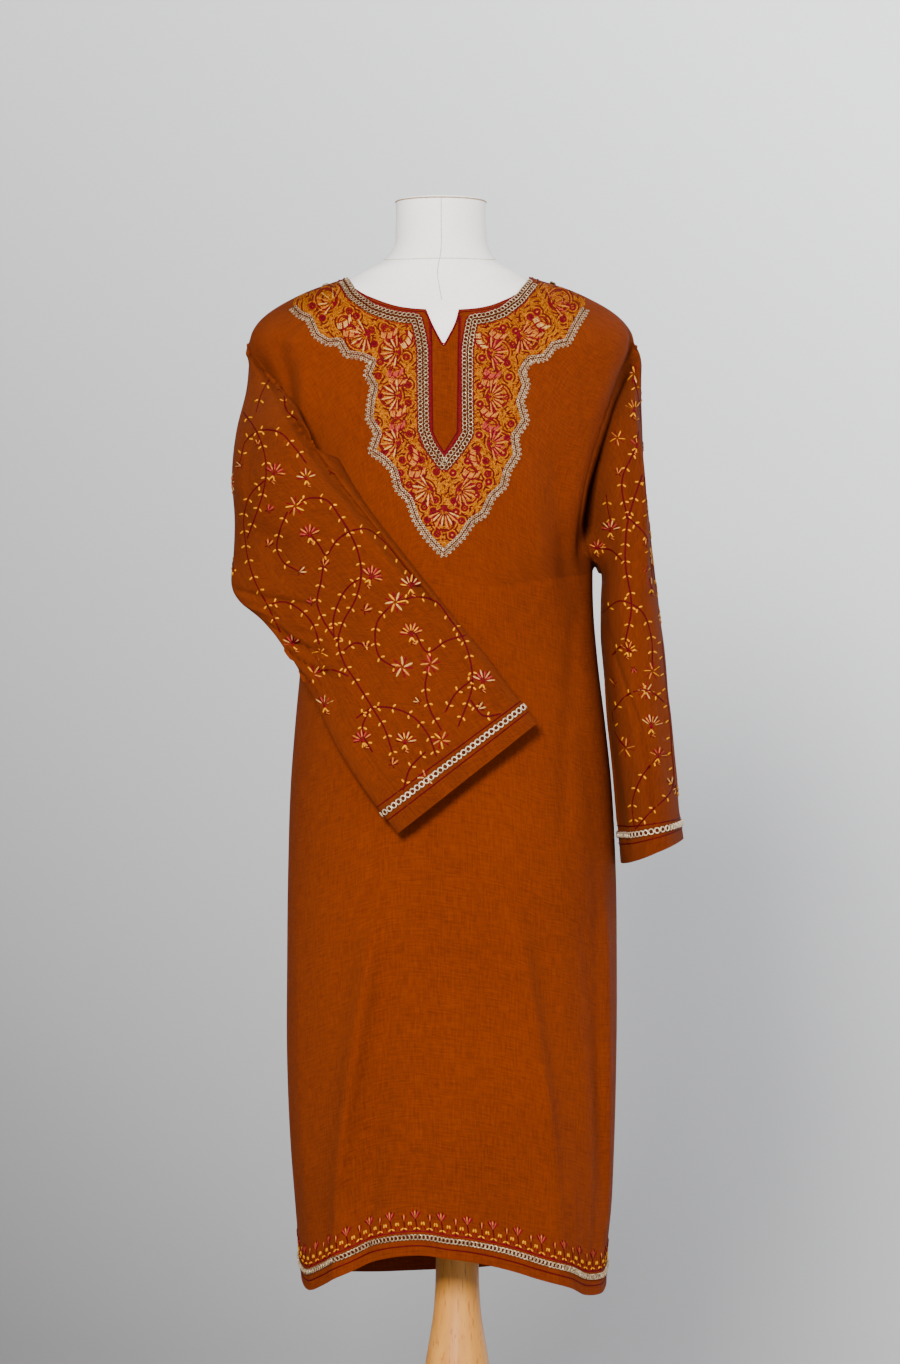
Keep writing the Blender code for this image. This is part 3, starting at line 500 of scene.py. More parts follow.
def clear_of_body(points, gap):
    x, y, z = points[..., 0], points[..., 1], points[..., 2]
    value = level_values(z)
    half = np.where(x < value["centre"], value["right"], value["left"]) + gap
    deep = np.where(y < 0, value["front"], value["back"]) + gap
    u = np.abs(x - value["centre"]) / half
    v = np.abs(y) / deep
    size = (u ** value["power"] + v ** value["power"]) ** (1 / value["power"])
    grow = np.where((size < 1) & (z < 1.33), 1 / np.maximum(size, 1e-6), 1.0)
    out = points.copy()
    out[..., 0] = value["centre"] + (x - value["centre"]) * grow
    out[..., 1] = y * grow
    return out


def sleeve_skin(stations, side, places):
    loop = armhole_loop(side, 0.0)
    n = len(loop)
    phi = np.arange(n) * 2 * math.pi / n
    axis0 = (loop[0] - loop[n // 2]) / 2
    middle0 = (loop[0] + loop[n // 2]) / 2
    rise = (loop - middle0) @ axis0 / (axis0 @ axis0)
    rest = loop - middle0 - rise[:, None] * axis0
    at = np.linspace(0, 1, len(stations))
    value = {name: curve(at, column(stations, name), places) for name in Station._fields}
    outer = toward_eye(value["outer_x"], value["outer_y"], value["outer_z"])
    inner = toward_eye(value["inner_x"], value["inner_y"], value["inner_z"])
    rings = []
    for k, t in enumerate(places):
        middle = (outer[k] + inner[k]) / 2
        axis = (outer[k] - inner[k]) / 2
        thick = np.array([0, 1.0, 0]) - unit(axis) * unit(axis)[1]
        thick = unit(thick) * value["half"][k]
        turned = phi + math.radians(value["roll"][k])
        level = np.sin(turned)
        level = np.sign(level) * np.abs(level) ** 0.85
        round_ring = middle + np.cos(turned)[:, None] * axis - level[:, None] * thick
        near = smooth(t / 0.36)
        start_ring = middle + rise[:, None] * axis + rest * (1 - 0.35 * near)
        lap = np.maximum(np.sin(phi), 0)[:, None] * value["lap"][k] * np.array([-side, -0.6, 0])
        rings.append(start_ring * (1 - near) + round_ring * near + lap)
    return np.array(rings)


def ring_normals(grid, side):
    around = np.roll(grid, -1, axis=1) - np.roll(grid, 1, axis=1)
    down = np.gradient(grid, axis=0)
    return unit(np.cross(around, down)) * side


# %% [markdown]
# A sleeve with no arm in it folds along its length. Each crease runs from one place on the sleeve
# to another: `t` goes from shoulder to cuff, and the angle goes from the top seam round the front.

# %% Sleeve creases
Crease = namedtuple("Crease", "t0 angle0 t1 angle1 rise wide")
CREASES_RIGHT = [
    Crease(0.47, -30, 0.60, 40, -0.0042, 8),
    Crease(0.53, -32, 0.66, 30, 0.0034, 7),
    Crease(0.58, -36, 0.73, 12, -0.0034, 7),
    Crease(0.62, -40, 0.80, 0, 0.0024, 7),
    Crease(0.20, 20, 0.46, 70, 0.0028, 14),
    Crease(0.30, 60, 0.52, 20, -0.0026, 12),
    Crease(0.60, 60, 0.95, 30, 0.0016, 14),
    Crease(0.20, 250, 0.60, 230, -0.0020, 14),
]
CREASES_LEFT = [
    Crease(0.03, 30, 0.46, 76, 0.0060, 14),
    Crease(0.14, 10, 0.55, 24, -0.0030, 12),
    Crease(0.55, 40, 0.92, 20, 0.0030, 14),
    Crease(0.30, 250, 0.90, 290, -0.0030, 14),
    Crease(0.15, 300, 0.60, 320, 0.0022, 16),
]


def crease_rise(creases, places, n):
    t = np.asarray(places)[:, None]
    phi = (np.arange(n) * 360.0 / n)[None, :]
    total = np.zeros((len(places), n))
    for c in creases:
        part = (t - c.t0) / (c.t1 - c.t0)
        middle = c.angle0 + (c.angle1 - c.angle0) * part
        away = (np.mod(phi - middle + 180, 360) - 180) / c.wide
        total += c.rise * np.exp(-away ** 2) * smooth(part * 3) * smooth((1 - part) * 3)
    ripple = 0.0004 * np.sin(np.radians(phi) * 5 + 17 * t) * np.sin(11 * t)
    return (total + ripple) * smooth(t / 0.08)


def sleeve_rings(stations, side, puff):
    outer = sleeve_skin(stations, side, np.linspace(0, 1, len(stations) + 4))
    outer[1:] = clear_of_body(outer[1:], WALL + 0.0015)
    loop = armhole_loop(side, 0.0)
    under = armhole_loop(side, -WALL)
    run = np.roll(loop, -1, axis=0) - np.roll(loop, 1, axis=0)
    away = unit(np.cross(loop - under, run)) * side
    up = unit(loop - under)
    top = np.cos(np.arange(len(loop)) * 2 * math.pi / len(loop))[:, None]
    puff = puff * (1 - 0.9 * smooth(top * 2 - 0.6))
    outer[0] = loop + away * SEAM
    outer = np.insert(outer, 1, loop + away * SEAM_RISE + up * puff, axis=0)
    return outer, under + away * SEAM, under + away * SEAM_RISE + up * puff


def resample(rings, count):
    gap = np.linalg.norm(np.diff(rings, axis=0), axis=-1).mean(axis=1)
    at = np.concatenate([[0], np.cumsum(gap)])
    want = np.concatenate([[0, at[1] * 0.5], np.linspace(at[1], at[-1], count)])
    fine = np.empty((len(want),) + rings.shape[1:])
    for c in range(rings.shape[1]):
        for k in range(3):
            fine[:, c, k] = curve(at, rings[:, c, k], want)
    return fine, want / at[-1]


# Twice as many columns round a tube: smooth between points, straight in the first rows
def finer(grid, straight=3):
    after = np.roll(grid, -1, axis=1)
    middle = (9 * (grid + after) - np.roll(grid, 1, axis=1) - np.roll(grid, -2, axis=1)) / 16
    middle[:straight] = (grid[:straight] + after[:straight]) / 2
    return np.stack([grid, middle], axis=2).reshape(grid.shape[0], -1, 3)


def sleeve_shell(stations, side, puff, creases, presses):
    rings, first, second = sleeve_rings(stations, side, puff)
    outer, places = resample(rings, SLEEVE_FINE)
    outer[3:] = clear_of_body(outer[3:], WALL + 0.0015)
    lift = crease_rise(creases, places, outer.shape[1])
    outer = outer + ring_normals(outer, side) * lift[..., None]
    outer = finer(outer)
    first, second = (finer(row[None])[0] for row in (first, second))
    phi = np.arange(outer.shape[1]) * 2 * math.pi / outer.shape[1]
    front_half = -ring_normals(outer, side)[..., 1] * 3 if side < 0 else np.sin(phi) * 3 + 0.2
    outer[..., 1] += pressed(outer, presses, smooth(front_half) * smooth(places / 0.014)[:, None])
    outer[3:] = clear_of_body(outer[3:], -0.0125)
    inner = outer - ring_normals(outer, side) * WALL
    inner[0] = first
    inner[2] = second
    inner[1] = (first + second) / 2
    return outer, inner


# %% [markdown]
# Wool, thread, metal cord, linen and wood all need a fine structure. Each effect is a node group with
# named inputs, made once. A small helper links the nodes so that each group reads like a recipe. The
# groups read the object's own coordinates in metres, so the structure keeps its true size.

# %% Helpers for shader nodes
def new_group(name, ins, outs):
    group = bpy.data.node_groups.new(name, "ShaderNodeTree")
    for label, kind, value in ins:
        socket = group.interface.new_socket(label, in_out="INPUT", socket_type=kind)
        if value is not None:
            socket.default_value = value
    for label, kind in outs:
        group.interface.new_socket(label, in_out="OUTPUT", socket_type=kind)
    return group, group.nodes.new("NodeGroupInput"), group.nodes.new("NodeGroupOutput")


def put(value, tree, socket):
    if isinstance(value, bpy.types.NodeSocket):
        tree.links.new(value, socket)
    else:
        socket.default_value = value


def maths(tree, operation, *values):
    node = tree.nodes.new("ShaderNodeMath")
    node.operation = operation
    for k, value in enumerate(values):
        put(value, tree, node.inputs[k])
    return node.outputs[0]


def noise(tree, place, scale, detail=2.0, stretch=None):
    if stretch is not None:
        mapping = tree.nodes.new("ShaderNodeMapping")
        put(place, tree, mapping.inputs["Vector"])
        mapping.inputs["Scale"].default_value = stretch
        place = mapping.outputs["Vector"]
    node = tree.nodes.new("ShaderNodeTexNoise")
    put(place, tree, node.inputs["Vector"])
    put(scale, tree, node.inputs["Scale"])
    node.inputs["Detail"].default_value = detail
    return node.outputs["Fac"]


def blend_colours(tree, factor, first, second):
    node = tree.nodes.new("ShaderNodeMix")
    node.data_type = "RGBA"
    put(factor, tree, node.inputs["Factor"])
    put(first, tree, node.inputs["A"])
    put(second, tree, node.inputs["B"])
    return node.outputs["Result"]


def spread(tree, value, low, high):
    node = tree.nodes.new("ShaderNodeMapRange")
    put(value, tree, node.inputs["Value"])
    node.inputs["From Min"].default_value = low
    node.inputs["From Max"].default_value = high
    return node.outputs["Result"]


# %% [markdown]
# Plain weave is one thread over, one thread under. Two sine ridges, one for each direction, take
# turns on top in a checker, and a little noise makes the yarn uneven like spun wool. The grids carry
# a UV map in metres, so the warp runs down the body and along the sleeves.

# %% Plain weave
def weave_group():
    group, ins, outs = new_group(
        "plain_weave",
        [("Place", "NodeSocketVector", None), ("Thread", "NodeSocketFloat", 0.0008)],
        [("Height", "NodeSocketFloat"), ("Slub", "NodeSocketFloat")])
    split = group.nodes.new("ShaderNodeSeparateXYZ")
    group.links.new(ins.outputs["Place"], split.inputs[0])
    across = maths(group, "DIVIDE", split.outputs["X"], ins.outputs["Thread"])
    along = maths(group, "DIVIDE", split.outputs["Y"], ins.outputs["Thread"])
    ridge_x = maths(group, "ABSOLUTE", maths(group, "SINE", maths(group, "MULTIPLY", across, math.pi)))
    ridge_y = maths(group, "ABSOLUTE", maths(group, "SINE", maths(group, "MULTIPLY", along, math.pi)))
    turn = maths(group, "MODULO", maths(group, "ADD", maths(group, "FLOOR", across),
                                        maths(group, "FLOOR", along)), 2.0)
    turn = maths(group, "ABSOLUTE", turn)
    over = maths(group, "ADD", maths(group, "MULTIPLY", ridge_x, turn),
                 maths(group, "MULTIPLY", ridge_y, maths(group, "SUBTRACT", 1.0, turn)))
    weft = noise(group, ins.outputs["Place"], 560.0, 2.0, (0.10, 1.0, 1.0))
    warp = noise(group, ins.outputs["Place"], 560.0, 2.0, (1.0, 0.10, 1.0))
    slub = spread(group, maths(group, "ADD", weft, warp), 0.72, 1.28)
    group.links.new(maths(group, "ADD", over, slub), outs.inputs["Height"])
    group.links.new(slub, outs.inputs["Slub"])
    return group


WEAVE = weave_group()
print("plain weave nodes:", len(WEAVE.nodes))


# %% [markdown]
# Hand-dyed wool is never one colour: it drifts a little over a hand's width and again from yarn to
# yarn. This group mixes a broad and a fine noise into one mask that each cloth uses in its own way.

# %% Dye drift
def drift_group():
    group, ins, outs = new_group(
        "dye_drift",
        [("Place", "NodeSocketVector", None), ("Broad", "NodeSocketFloat", 6.0),
         ("Fine", "NodeSocketFloat", 260.0)],
        [("Mask", "NodeSocketFloat")])
    broad = noise(group, ins.outputs["Place"], ins.outputs["Broad"], 3.0)
    fine = noise(group, ins.outputs["Place"], ins.outputs["Fine"], 2.0)
    both = maths(group, "ADD", maths(group, "MULTIPLY", broad, 0.6), maths(group, "MULTIPLY", fine, 0.4))
    group.links.new(spread(group, both, 0.32, 0.68), outs.inputs["Mask"])
    return group


DRIFT = drift_group()


# %% [markdown]
# Embroidery thread and metal cord are both twisted. A steep sine across the object's own
# coordinates, broken up by noise, gives the small diagonal lines of the twist.

# %% Twisted thread
def twist_group():
    group, ins, outs = new_group(
        "thread_twist",
        [("Place", "NodeSocketVector", None), ("Pitch", "NodeSocketFloat", 0.0009)],
        [("Height", "NodeSocketFloat"), ("Mask", "NodeSocketFloat")])
    split = group.nodes.new("ShaderNodeSeparateXYZ")
    group.links.new(ins.outputs["Place"], split.inputs[0])
    slope = maths(group, "ADD", split.outputs["Z"], maths(group, "MULTIPLY", split.outputs["X"], 0.7))
    slope = maths(group, "ADD", slope, maths(group, "MULTIPLY", split.outputs["Y"], 0.6))
    wave = maths(group, "SINE", maths(group, "MULTIPLY", maths(group, "DIVIDE", slope,
                 ins.outputs["Pitch"]), 2 * math.pi))
    rough = noise(group, ins.outputs["Place"], 420.0, 2.0)
    group.links.new(maths(group, "ADD", maths(group, "MULTIPLY", wave, 0.35), rough), outs.inputs["Height"])
    group.links.new(spread(group, rough, 0.30, 0.70), outs.inputs["Mask"])
    return group


TWIST = twist_group()


# %% Material helper
def start_material(name, rough, metal=0.0):
    material = bpy.data.materials.new(name)
    material.use_nodes = True
    tree = material.node_tree
    shader = tree.nodes["Principled BSDF"]
    shader.inputs["Roughness"].default_value = rough
    shader.inputs["Metallic"].default_value = metal
    shader.inputs["Specular IOR Level"].default_value = 0.25
    place = tree.nodes.new("ShaderNodeTexCoord")
    return material, tree, shader, place


def use_group(tree, group, place, **values):
    node = tree.nodes.new("ShaderNodeGroup")
    node.node_tree = group
    put(place, tree, node.inputs["Place"])
    for label, value in values.items():
        put(value, tree, node.inputs[label])
    return node


def add_bump(tree, shader, height, distance, strength=1.0):
    bump = tree.nodes.new("ShaderNodeBump")
    bump.inputs["Distance"].default_value = distance
    bump.inputs["Strength"].default_value = strength
    put(height, tree, bump.inputs["Height"])
    tree.links.new(bump.outputs["Normal"], shader.inputs["Normal"])


# %% [markdown]
# The wool is rust orange. Its low sheen is the fuzz of short fibres that catches light at the edges
# of folds. The deeper tone sits between the yarns and in the patches that took more dye.

# %% Wool
def wool(name, light, dark):
    material, tree, shader, place = start_material(name, 0.88)
    weave = use_group(tree, WEAVE, place.outputs["UV"], Thread=0.0009)
    drift = use_group(tree, DRIFT, place.outputs["Object"])
    mask = maths(tree, "MULTIPLY", weave.outputs["Slub"], 0.62)
    mask = maths(tree, "ADD", mask, maths(tree, "MULTIPLY", drift.outputs["Mask"], 0.38))
    tree.links.new(blend_colours(tree, mask, (*dark, 1), (*light, 1)), shader.inputs["Base Color"])
    shader.inputs["Sheen Weight"].default_value = 0.04
    shader.inputs["Sheen Roughness"].default_value = 0.5
    shader.inputs["Sheen Tint"].default_value = (1.0, 0.35, 0.08, 1)
    shader.inputs["Specular IOR Level"].default_value = 0.08
    add_bump(tree, shader, weave.outputs["Height"], 0.0005, 0.8)
    return material


WOOL_BODY = wool("rust_wool_body", (0.190, 0.0265, 0.0003), (0.098, 0.0118, 0.0001))
# The sleeves are the same wool made a little darker and browner, as painted shade on the sleeves.
WOOL_SLEEVE_SHADED = wool("rust_wool_sleeve_shaded", (0.168, 0.0240, 0.0004), (0.086, 0.0108, 0.0002))


# %% [markdown]
# Nine thread colours make the flowers and their ground, and each strand is a little lighter or darker
# along its twist. The colours are deep ones, because strong light would turn paler ones to tan.

# %% Embroidery threads
def floss(name, colour, rough=0.70):
    material, tree, shader, place = start_material(name, rough)
    twist = use_group(tree, TWIST, place.outputs["Object"])
    dark = tuple(c * 0.58 for c in colour)
    light = tuple(min(1.0, c * 1.15) for c in colour)
    tree.links.new(blend_colours(tree, twist.outputs["Mask"], (*dark, 1), (*light, 1)),
                   shader.inputs["Base Color"])
    shader.inputs["Specular IOR Level"].default_value = 0.05
    add_bump(tree, shader, twist.outputs["Height"], 0.0003, 0.5)
    return material


THREADS = {
    "mustard": floss("thread_mustard", (0.230, 0.0560, 0.00002)),
    "amber": floss("thread_amber", (0.360, 0.1120, 0.00002)),
    "gold": floss("thread_gold", (0.600, 0.2300, 0.0002)),
    "maroon": floss("thread_maroon", (0.072, 0.0010, 0.0030)),
    "crimson": floss("thread_crimson", (0.125, 0.0018, 0.0060)),
    "peach": floss("thread_peach", (0.440, 0.1350, 0.0200)),
    "cream": floss("thread_cream", (0.520, 0.2700, 0.0700)),
    "pink": floss("thread_pink", (0.330, 0.0330, 0.0260)),
    "ochre": floss("thread_ochre", (0.230, 0.0450, 0.0001)),
}
print("thread colours:", ", ".join(THREADS))


# %% [markdown]
# Tilla is thread wrapped in flattened silver or gilt wire. It is bright where the wire is rubbed and
# brown where it has tarnished, so one mask drives colour, roughness and a little of the metal.

# %% Metal thread
def tilla(name, bright, dull):
    material, tree, shader, place = start_material(name, 0.42, 0.55)
    twist = use_group(tree, TWIST, place.outputs["Object"], Pitch=0.0011)
    mask = twist.outputs["Mask"]
    tree.links.new(blend_colours(tree, mask, (*dull, 1), (*bright, 1)), shader.inputs["Base Color"])
    rough = maths(tree, "SUBTRACT", 0.58, maths(tree, "MULTIPLY", mask, 0.26))
    tree.links.new(rough, shader.inputs["Roughness"])
    add_bump(tree, shader, twist.outputs["Height"], 0.0003, 0.7)
    return material


TILLA = tilla("tilla_cord", (0.66, 0.50, 0.31), (0.11, 0.060, 0.026))
TILLA_BRIGHT = tilla("tilla_bright_cord", (0.86, 0.72, 0.50), (0.26, 0.155, 0.075))
TILLA_GROUND = floss("tilla_couching", (0.060, 0.0090, 0.0010), 0.8)


# %% [markdown]
# The form is padded and covered in cream linen, and its neck is pressed smooth. The post and its
# foot are turned beech: long fine grain up the length, with short darker flecks.

# %% Form cover and wood
def linen(name):
    material, tree, shader, place = start_material(name, 0.86)
    drift = use_group(tree, DRIFT, place.outputs["Object"], Broad=9.0, Fine=420.0)
    tree.links.new(blend_colours(tree, drift.outputs["Mask"], (0.83, 0.79, 0.74, 1), (0.94, 0.92, 0.89, 1)),
                   shader.inputs["Base Color"])
    weave = noise(tree, place.outputs["Object"], 1400.0, 1.0)
    add_bump(tree, shader, weave, 0.0003, 0.4)
    return material


def grain_group():
    group, ins, outs = new_group(
        "wood_grain", [("Place", "NodeSocketVector", None)],
        [("Grain", "NodeSocketFloat"), ("Fleck", "NodeSocketFloat")])
    grain = noise(group, ins.outputs["Place"], 60.0, 4.0, (1.0, 1.0, 0.06))
    fleck = noise(group, ins.outputs["Place"], 420.0, 2.0, (1.0, 1.0, 0.10))
    group.links.new(spread(group, grain, 0.30, 0.70), outs.inputs["Grain"])
    group.links.new(spread(group, fleck, 0.58, 0.74), outs.inputs["Fleck"])
    return group


GRAIN = grain_group()


def beech(name):
    material, tree, shader, place = start_material(name, 0.42)
    grain = use_group(tree, GRAIN, place.outputs["Object"])
    base = blend_colours(tree, grain.outputs["Grain"], (0.43, 0.158, 0.019, 1), (0.57, 0.250, 0.042, 1))
    full = blend_colours(tree, grain.outputs["Fleck"], base, (0.26, 0.085, 0.016, 1))
    tree.links.new(full, shader.inputs["Base Color"])
    tree.links.new(maths(tree, "SUBTRACT", 0.52, maths(tree, "MULTIPLY", grain.outputs["Grain"], 0.14)),
                   shader.inputs["Roughness"])
    shader.inputs["Coat Weight"].default_value = 0.10
    shader.inputs["Coat Roughness"].default_value = 0.30
    add_bump(tree, shader, grain.outputs["Grain"], 0.0004, 0.25)
    return material


LINEN = linen("form_linen")
BEECH = beech("turned_beech")
print("materials so far:", len(bpy.data.materials))


# %% [markdown]
# The four pieces of cloth come first: front, back and two sleeves. They are cut apart by the same
# fine seam gap as the solids, and each one replaces its solid. A UV map in metres is written from
# the grid's own running length, so the weave is even and follows the cloth.

# %% Cloth pieces
def grid_lengths(grid):
    across = np.linalg.norm(np.diff(grid, axis=1), axis=-1)
    along = np.linalg.norm(np.diff(grid, axis=0), axis=-1)
    u = np.concatenate([np.zeros((grid.shape[0], 1)), np.cumsum(across, axis=1)], axis=1)
    v = np.concatenate([np.zeros((1, grid.shape[1])), np.cumsum(along, axis=0)], axis=0)
    return u.mean(axis=0)[None, :] + 0 * v, v


def add_uv(obj, outer):
    u, v = grid_lengths(outer)
    place = np.stack([u.ravel(), v.ravel()], axis=-1)
    place = np.concatenate([place, place])
    layer = obj.data.uv_layers.new(name="cloth_metres")
    index = np.empty(len(obj.data.loops), np.int32)
    obj.data.loops.foreach_get("vertex_index", index)
    layer.uv.foreach_set("vector", place[index].astype(np.float32).ravel())


def grid_area(grid, ring=False):
    if ring:
        grid = np.concatenate([grid, grid[:, :1]], axis=1)
    a = grid[1:, 1:] - grid[:-1, :-1]
    b = grid[1:, :-1] - grid[:-1, 1:]
    return float(np.linalg.norm(np.cross(a, b), axis=-1).sum() / 2)


RIGHT_PUFF = 0.0050
LEFT_PUFF = 0.0020
GRIDS, INNER, CLOTH = {}, {}, {}
for name, back in (("front", False), ("back", True)):
    GRIDS[name], INNER[name] = panel_grid(back, 0.0), panel_grid(back, -WALL)
for name, *plan in (("sleeve_right", SLEEVE_RIGHT, -1, RIGHT_PUFF, CREASES_RIGHT, RIGHT_PRESS),
                    ("sleeve_left", SLEEVE_LEFT, 1, LEFT_PUFF, CREASES_LEFT, LEFT_PRESS)):
    GRIDS[name], INNER[name] = sleeve_shell(*plan)
for name, outer in GRIDS.items():
    is_sleeve = name.startswith("sleeve")
    obj = walled(name + "_wool", outer, INNER[name], WOOL_SLEEVE_SHADED if is_sleeve else WOOL_BODY,
                 ring=is_sleeve, flip=name == "sleeve_left")
    add_uv(obj, outer)
    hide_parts(name)
    CLOTH[name] = obj
    print(name, "faces:", len(obj.data.polygons), "area m2:", round(grid_area(outer, is_sleeve), 4))


# %% Check that the walls face outward
def wall_volume(obj):
    mesh = obj.data
    mesh.calc_loop_triangles()
    co = np.empty(len(mesh.vertices) * 3, np.float32)
    mesh.vertices.foreach_get("co", co)
    tri = np.empty(len(mesh.loop_triangles) * 3, np.int32)
    mesh.loop_triangles.foreach_get("vertices", tri)
    corner = co.reshape(-1, 3)[tri.reshape(-1, 3)].astype(float)
    return float(np.einsum("ij,ij->i", corner[:, 0], np.cross(corner[:, 1], corner[:, 2])).sum() / 6)


for name, obj in CLOTH.items():
    if wall_volume(obj) < 0:
        obj.data.flip_normals()
    print(name, "wall volume cm3:", round(abs(wall_volume(obj)) * 1e6, 1))


# %% [markdown]
# Embroidery lies on the finished cloth. To place a stitch as the picture shows it, a straight line
# goes from the eye through a place in the picture and stops where it first meets cloth.

# %% Lines of sight
OWNER = []
SIGHT_POINTS = []
SIGHT_FACES = []
for name, outer in GRIDS.items():
    m, n = outer.shape[:2]
    index = np.arange(m * n).reshape(m, n) + sum(len(p) for p in SIGHT_POINTS)
    if name.startswith("sleeve"):
        index = np.concatenate([index, index[:, :1]], axis=1)
    faces = grid_faces(index)
    OWNER += [name] * len(faces)
    SIGHT_FACES += faces
    SIGHT_POINTS.append(outer.reshape(-1, 3))
SIGHT = BVHTree.FromPolygons(np.concatenate(SIGHT_POINTS).tolist(), SIGHT_FACES)


def ray(view, u, v):
    if view == "front":
        return Vector((EYE_X, -EYE_FAR, EYE_Z)), Vector((u - EYE_X, EYE_FAR, v - EYE_Z)).normalized()
    if view == "back":
        return Vector((u, 2, v)), Vector((0, -1, 0))
    if view == "left":
        return Vector((2, u, v)), Vector((-1, 0, 0))
    return Vector((-2, u, v)), Vector((1, 0, 0))


def meet(view, u, v):
    start, way = ray(view, u, v)
    place, normal, face, _ = SIGHT.ray_cast(start, way)
    if place is None:
        return None
    if normal.dot(way) > 0:
        normal = -normal
    return OWNER[face], np.array(place), np.array(normal), -normal.dot(way)


def at(px, py):
    return (px - MIDDLE_X) * PITCH, EYE_Z + (MIDDLE_Y - py) * PITCH


# %% [markdown]
# One stitch is a small raised lozenge: pointed where the thread dives into the cloth, widest and
# highest in between. Thousands of them are gathered first and then made into one mesh for each colour
# on each piece of cloth, which is far lighter than thousands of objects.

# %% Stitches
STITCHES = {}
MOST_STITCH = 0.034


def stitch(view, p, q, colour, wide, high=0.0005, only=None):
    start = meet(view, *p)
    end = meet(view, *q)
    if start is None or end is None or start[0] != end[0] or (only and start[0] not in only):
        return
    if np.linalg.norm(start[1] - end[1]) > MOST_STITCH or min(start[3], end[3]) < 0.12:
        return
    normal = start[2] + end[2]
    STITCHES.setdefault((start[0], colour), []).append((start[1], end[1], normal, wide, high))


def count_stitches():
    print("stitches so far:", sum(len(s) for s in STITCHES.values()))


def stitch_mesh(name, entries, material):
    a = np.array([e[0] for e in entries])
    b = np.array([e[1] for e in entries])
    normal = unit(np.array([e[2] for e in entries]))
    half = np.array([e[3] for e in entries])[:, None] / 2
    high = np.array([e[4] for e in entries])[:, None]
    side = unit(np.cross(normal, unit(b - a)))
    points = [a]
    for t in (0.22, 0.78):
        middle = a + (b - a) * t
        points += [middle + side * half - normal * 0.0001, middle + normal * high,
                   middle - side * half - normal * 0.0001]
    points.append(b)
    vertices = np.stack(points, axis=1)
    pattern = [(0, 2, 1), (0, 3, 2), (1, 2, 5, 4), (2, 3, 6, 5), (4, 5, 7), (5, 6, 7)]
    faces = [[8 * k + i for i in f] for k in range(len(a)) for f in pattern]
    return add_object(name, vertices, faces, material)


# %% Lines of stitches
def along(points, spacing):
    points = np.asarray(points, float)
    length = run_length(points)
    count = max(2, int(round(length[-1] / spacing)) + 1)
    want = np.linspace(0, length[-1], count)
    return np.stack([curve(length, points[:, k], want) for k in range(2)], axis=-1)


def straight_along(points, spacing):
    points = np.asarray(points, float)
    length = run_length(points)
    want = np.linspace(0, length[-1], max(2, int(round(length[-1] / spacing)) + 1))
    return np.stack([np.interp(want, length, points[:, k]) for k in range(2)], axis=-1)


def chain(view, line, colour, wide=0.0010, only=None, high=0.0006):
    for p, q in zip(line[:-1], line[1:]):
        lap = (q - p) * 0.30
        stitch(view, p - lap, q + lap, colour, wide, high, only)


# %% [markdown]
# The motifs are the ordinary ones of this needlework: an open fan flower, a pinwheel, a small bud, a
# curled leaf, a ringed dot and a stem with paired leaves. Each is a short recipe of stitches round a
# centre, turned by an angle and drawn at a size, so that no two look stamped.

# %% Motifs
def way(angle):
    return np.array([math.cos(math.radians(angle)), math.sin(math.radians(angle))])


def fan(view, centre, aim, size, petals, colours, only=None, wide=1.0, open_by=150):
    centre = np.array(centre)
    step = open_by / (petals - 1)
    for k in range(petals):
        angle = aim + open_by * (k / (petals - 1) - 0.5)
        reach = size * (1.0 if k % 2 == 0 else 0.86)
        colour = colours[k % len(colours)]
        stitch(view, centre + way(angle) * size * 0.24, centre + way(angle) * reach, colour,
               size * 0.14 * wide, 0.0010, only)
        stitch(view, centre + way(angle + step * 0.46) * size * 0.10,
               centre + way(angle + step * 0.40) * reach * 1.06, "maroon" if k % 2 else "crimson",
               size * 0.155 * wide, 0.0009, only)
    stitch(view, centre + way(aim - open_by * 0.5 - step * 0.5) * size * 0.1,
           centre + way(aim - open_by * 0.5 - step * 0.4) * size * 0.9, "maroon", size * 0.12, 0.0008, only)
    for turn in (-40, 0, 40):
        stitch(view, centre - way(aim + turn) * size * 0.26, centre + way(aim + turn) * size * 0.16,
               "crimson", size * 0.17, 0.0009, only)


def pinwheel(view, centre, aim, size, petals, colours, only=None):
    centre = np.array(centre)
    for k in range(petals):
        angle = aim + 360 * k / petals
        bend = way(angle + 24) * size * 0.95
        stitch(view, centre + way(angle) * size * 0.12, centre + bend, colours[k % len(colours)],
               size * 0.17, 0.0010, only)
        stitch(view, centre + way(angle - 14) * size * 0.12, centre + way(angle - 2) * size,
               "crimson", size * 0.17, 0.0009, only)


def bud(view, centre, aim, size, colour, only=None):
    centre = np.array(centre)
    for turn, tint, reach in ((-46, "maroon", 0.85), (-20, colour, 1.0), (4, "maroon", 0.9),
                              (24, colour, 1.0), (48, "maroon", 0.85)):
        stitch(view, centre, centre + way(aim + turn) * size * reach, tint, size * 0.20, 0.0009, only)
    for turn in (120, -120):
        stitch(view, centre, centre + way(aim + turn) * size * 0.5, "maroon", size * 0.16, 0.0008, only)


def curled_leaf(view, centre, aim, size, colour, only=None, bend=30):
    centre = np.array(centre)
    spine = []
    for t in (-0.5, -0.25, 0.0, 0.25, 0.5):
        side = way(aim + 90) * bend / 30 * (0.25 - t * t) * size * 0.7
        spine.append(centre + way(aim) * t * size + side)
    spine = along(spine, size / 5)
    for k, p in enumerate(along(spine, size / 9)):
        bar = way(aim + 62) * size * 0.25
        stitch(view, p - bar, p + bar, "crimson" if k % 4 == 3 else colour, size * 0.12, 0.0009, only)
    for off in (-0.27, 0.27):
        line = spine + way(aim + 90) * off * size
        chain(view, line, "crimson", size * 0.12, only, 0.0009)
    stitch(view, spine[-1], spine[-1] + way(aim + 30) * size * 0.3, "maroon", size * 0.1, 0.0008, only)


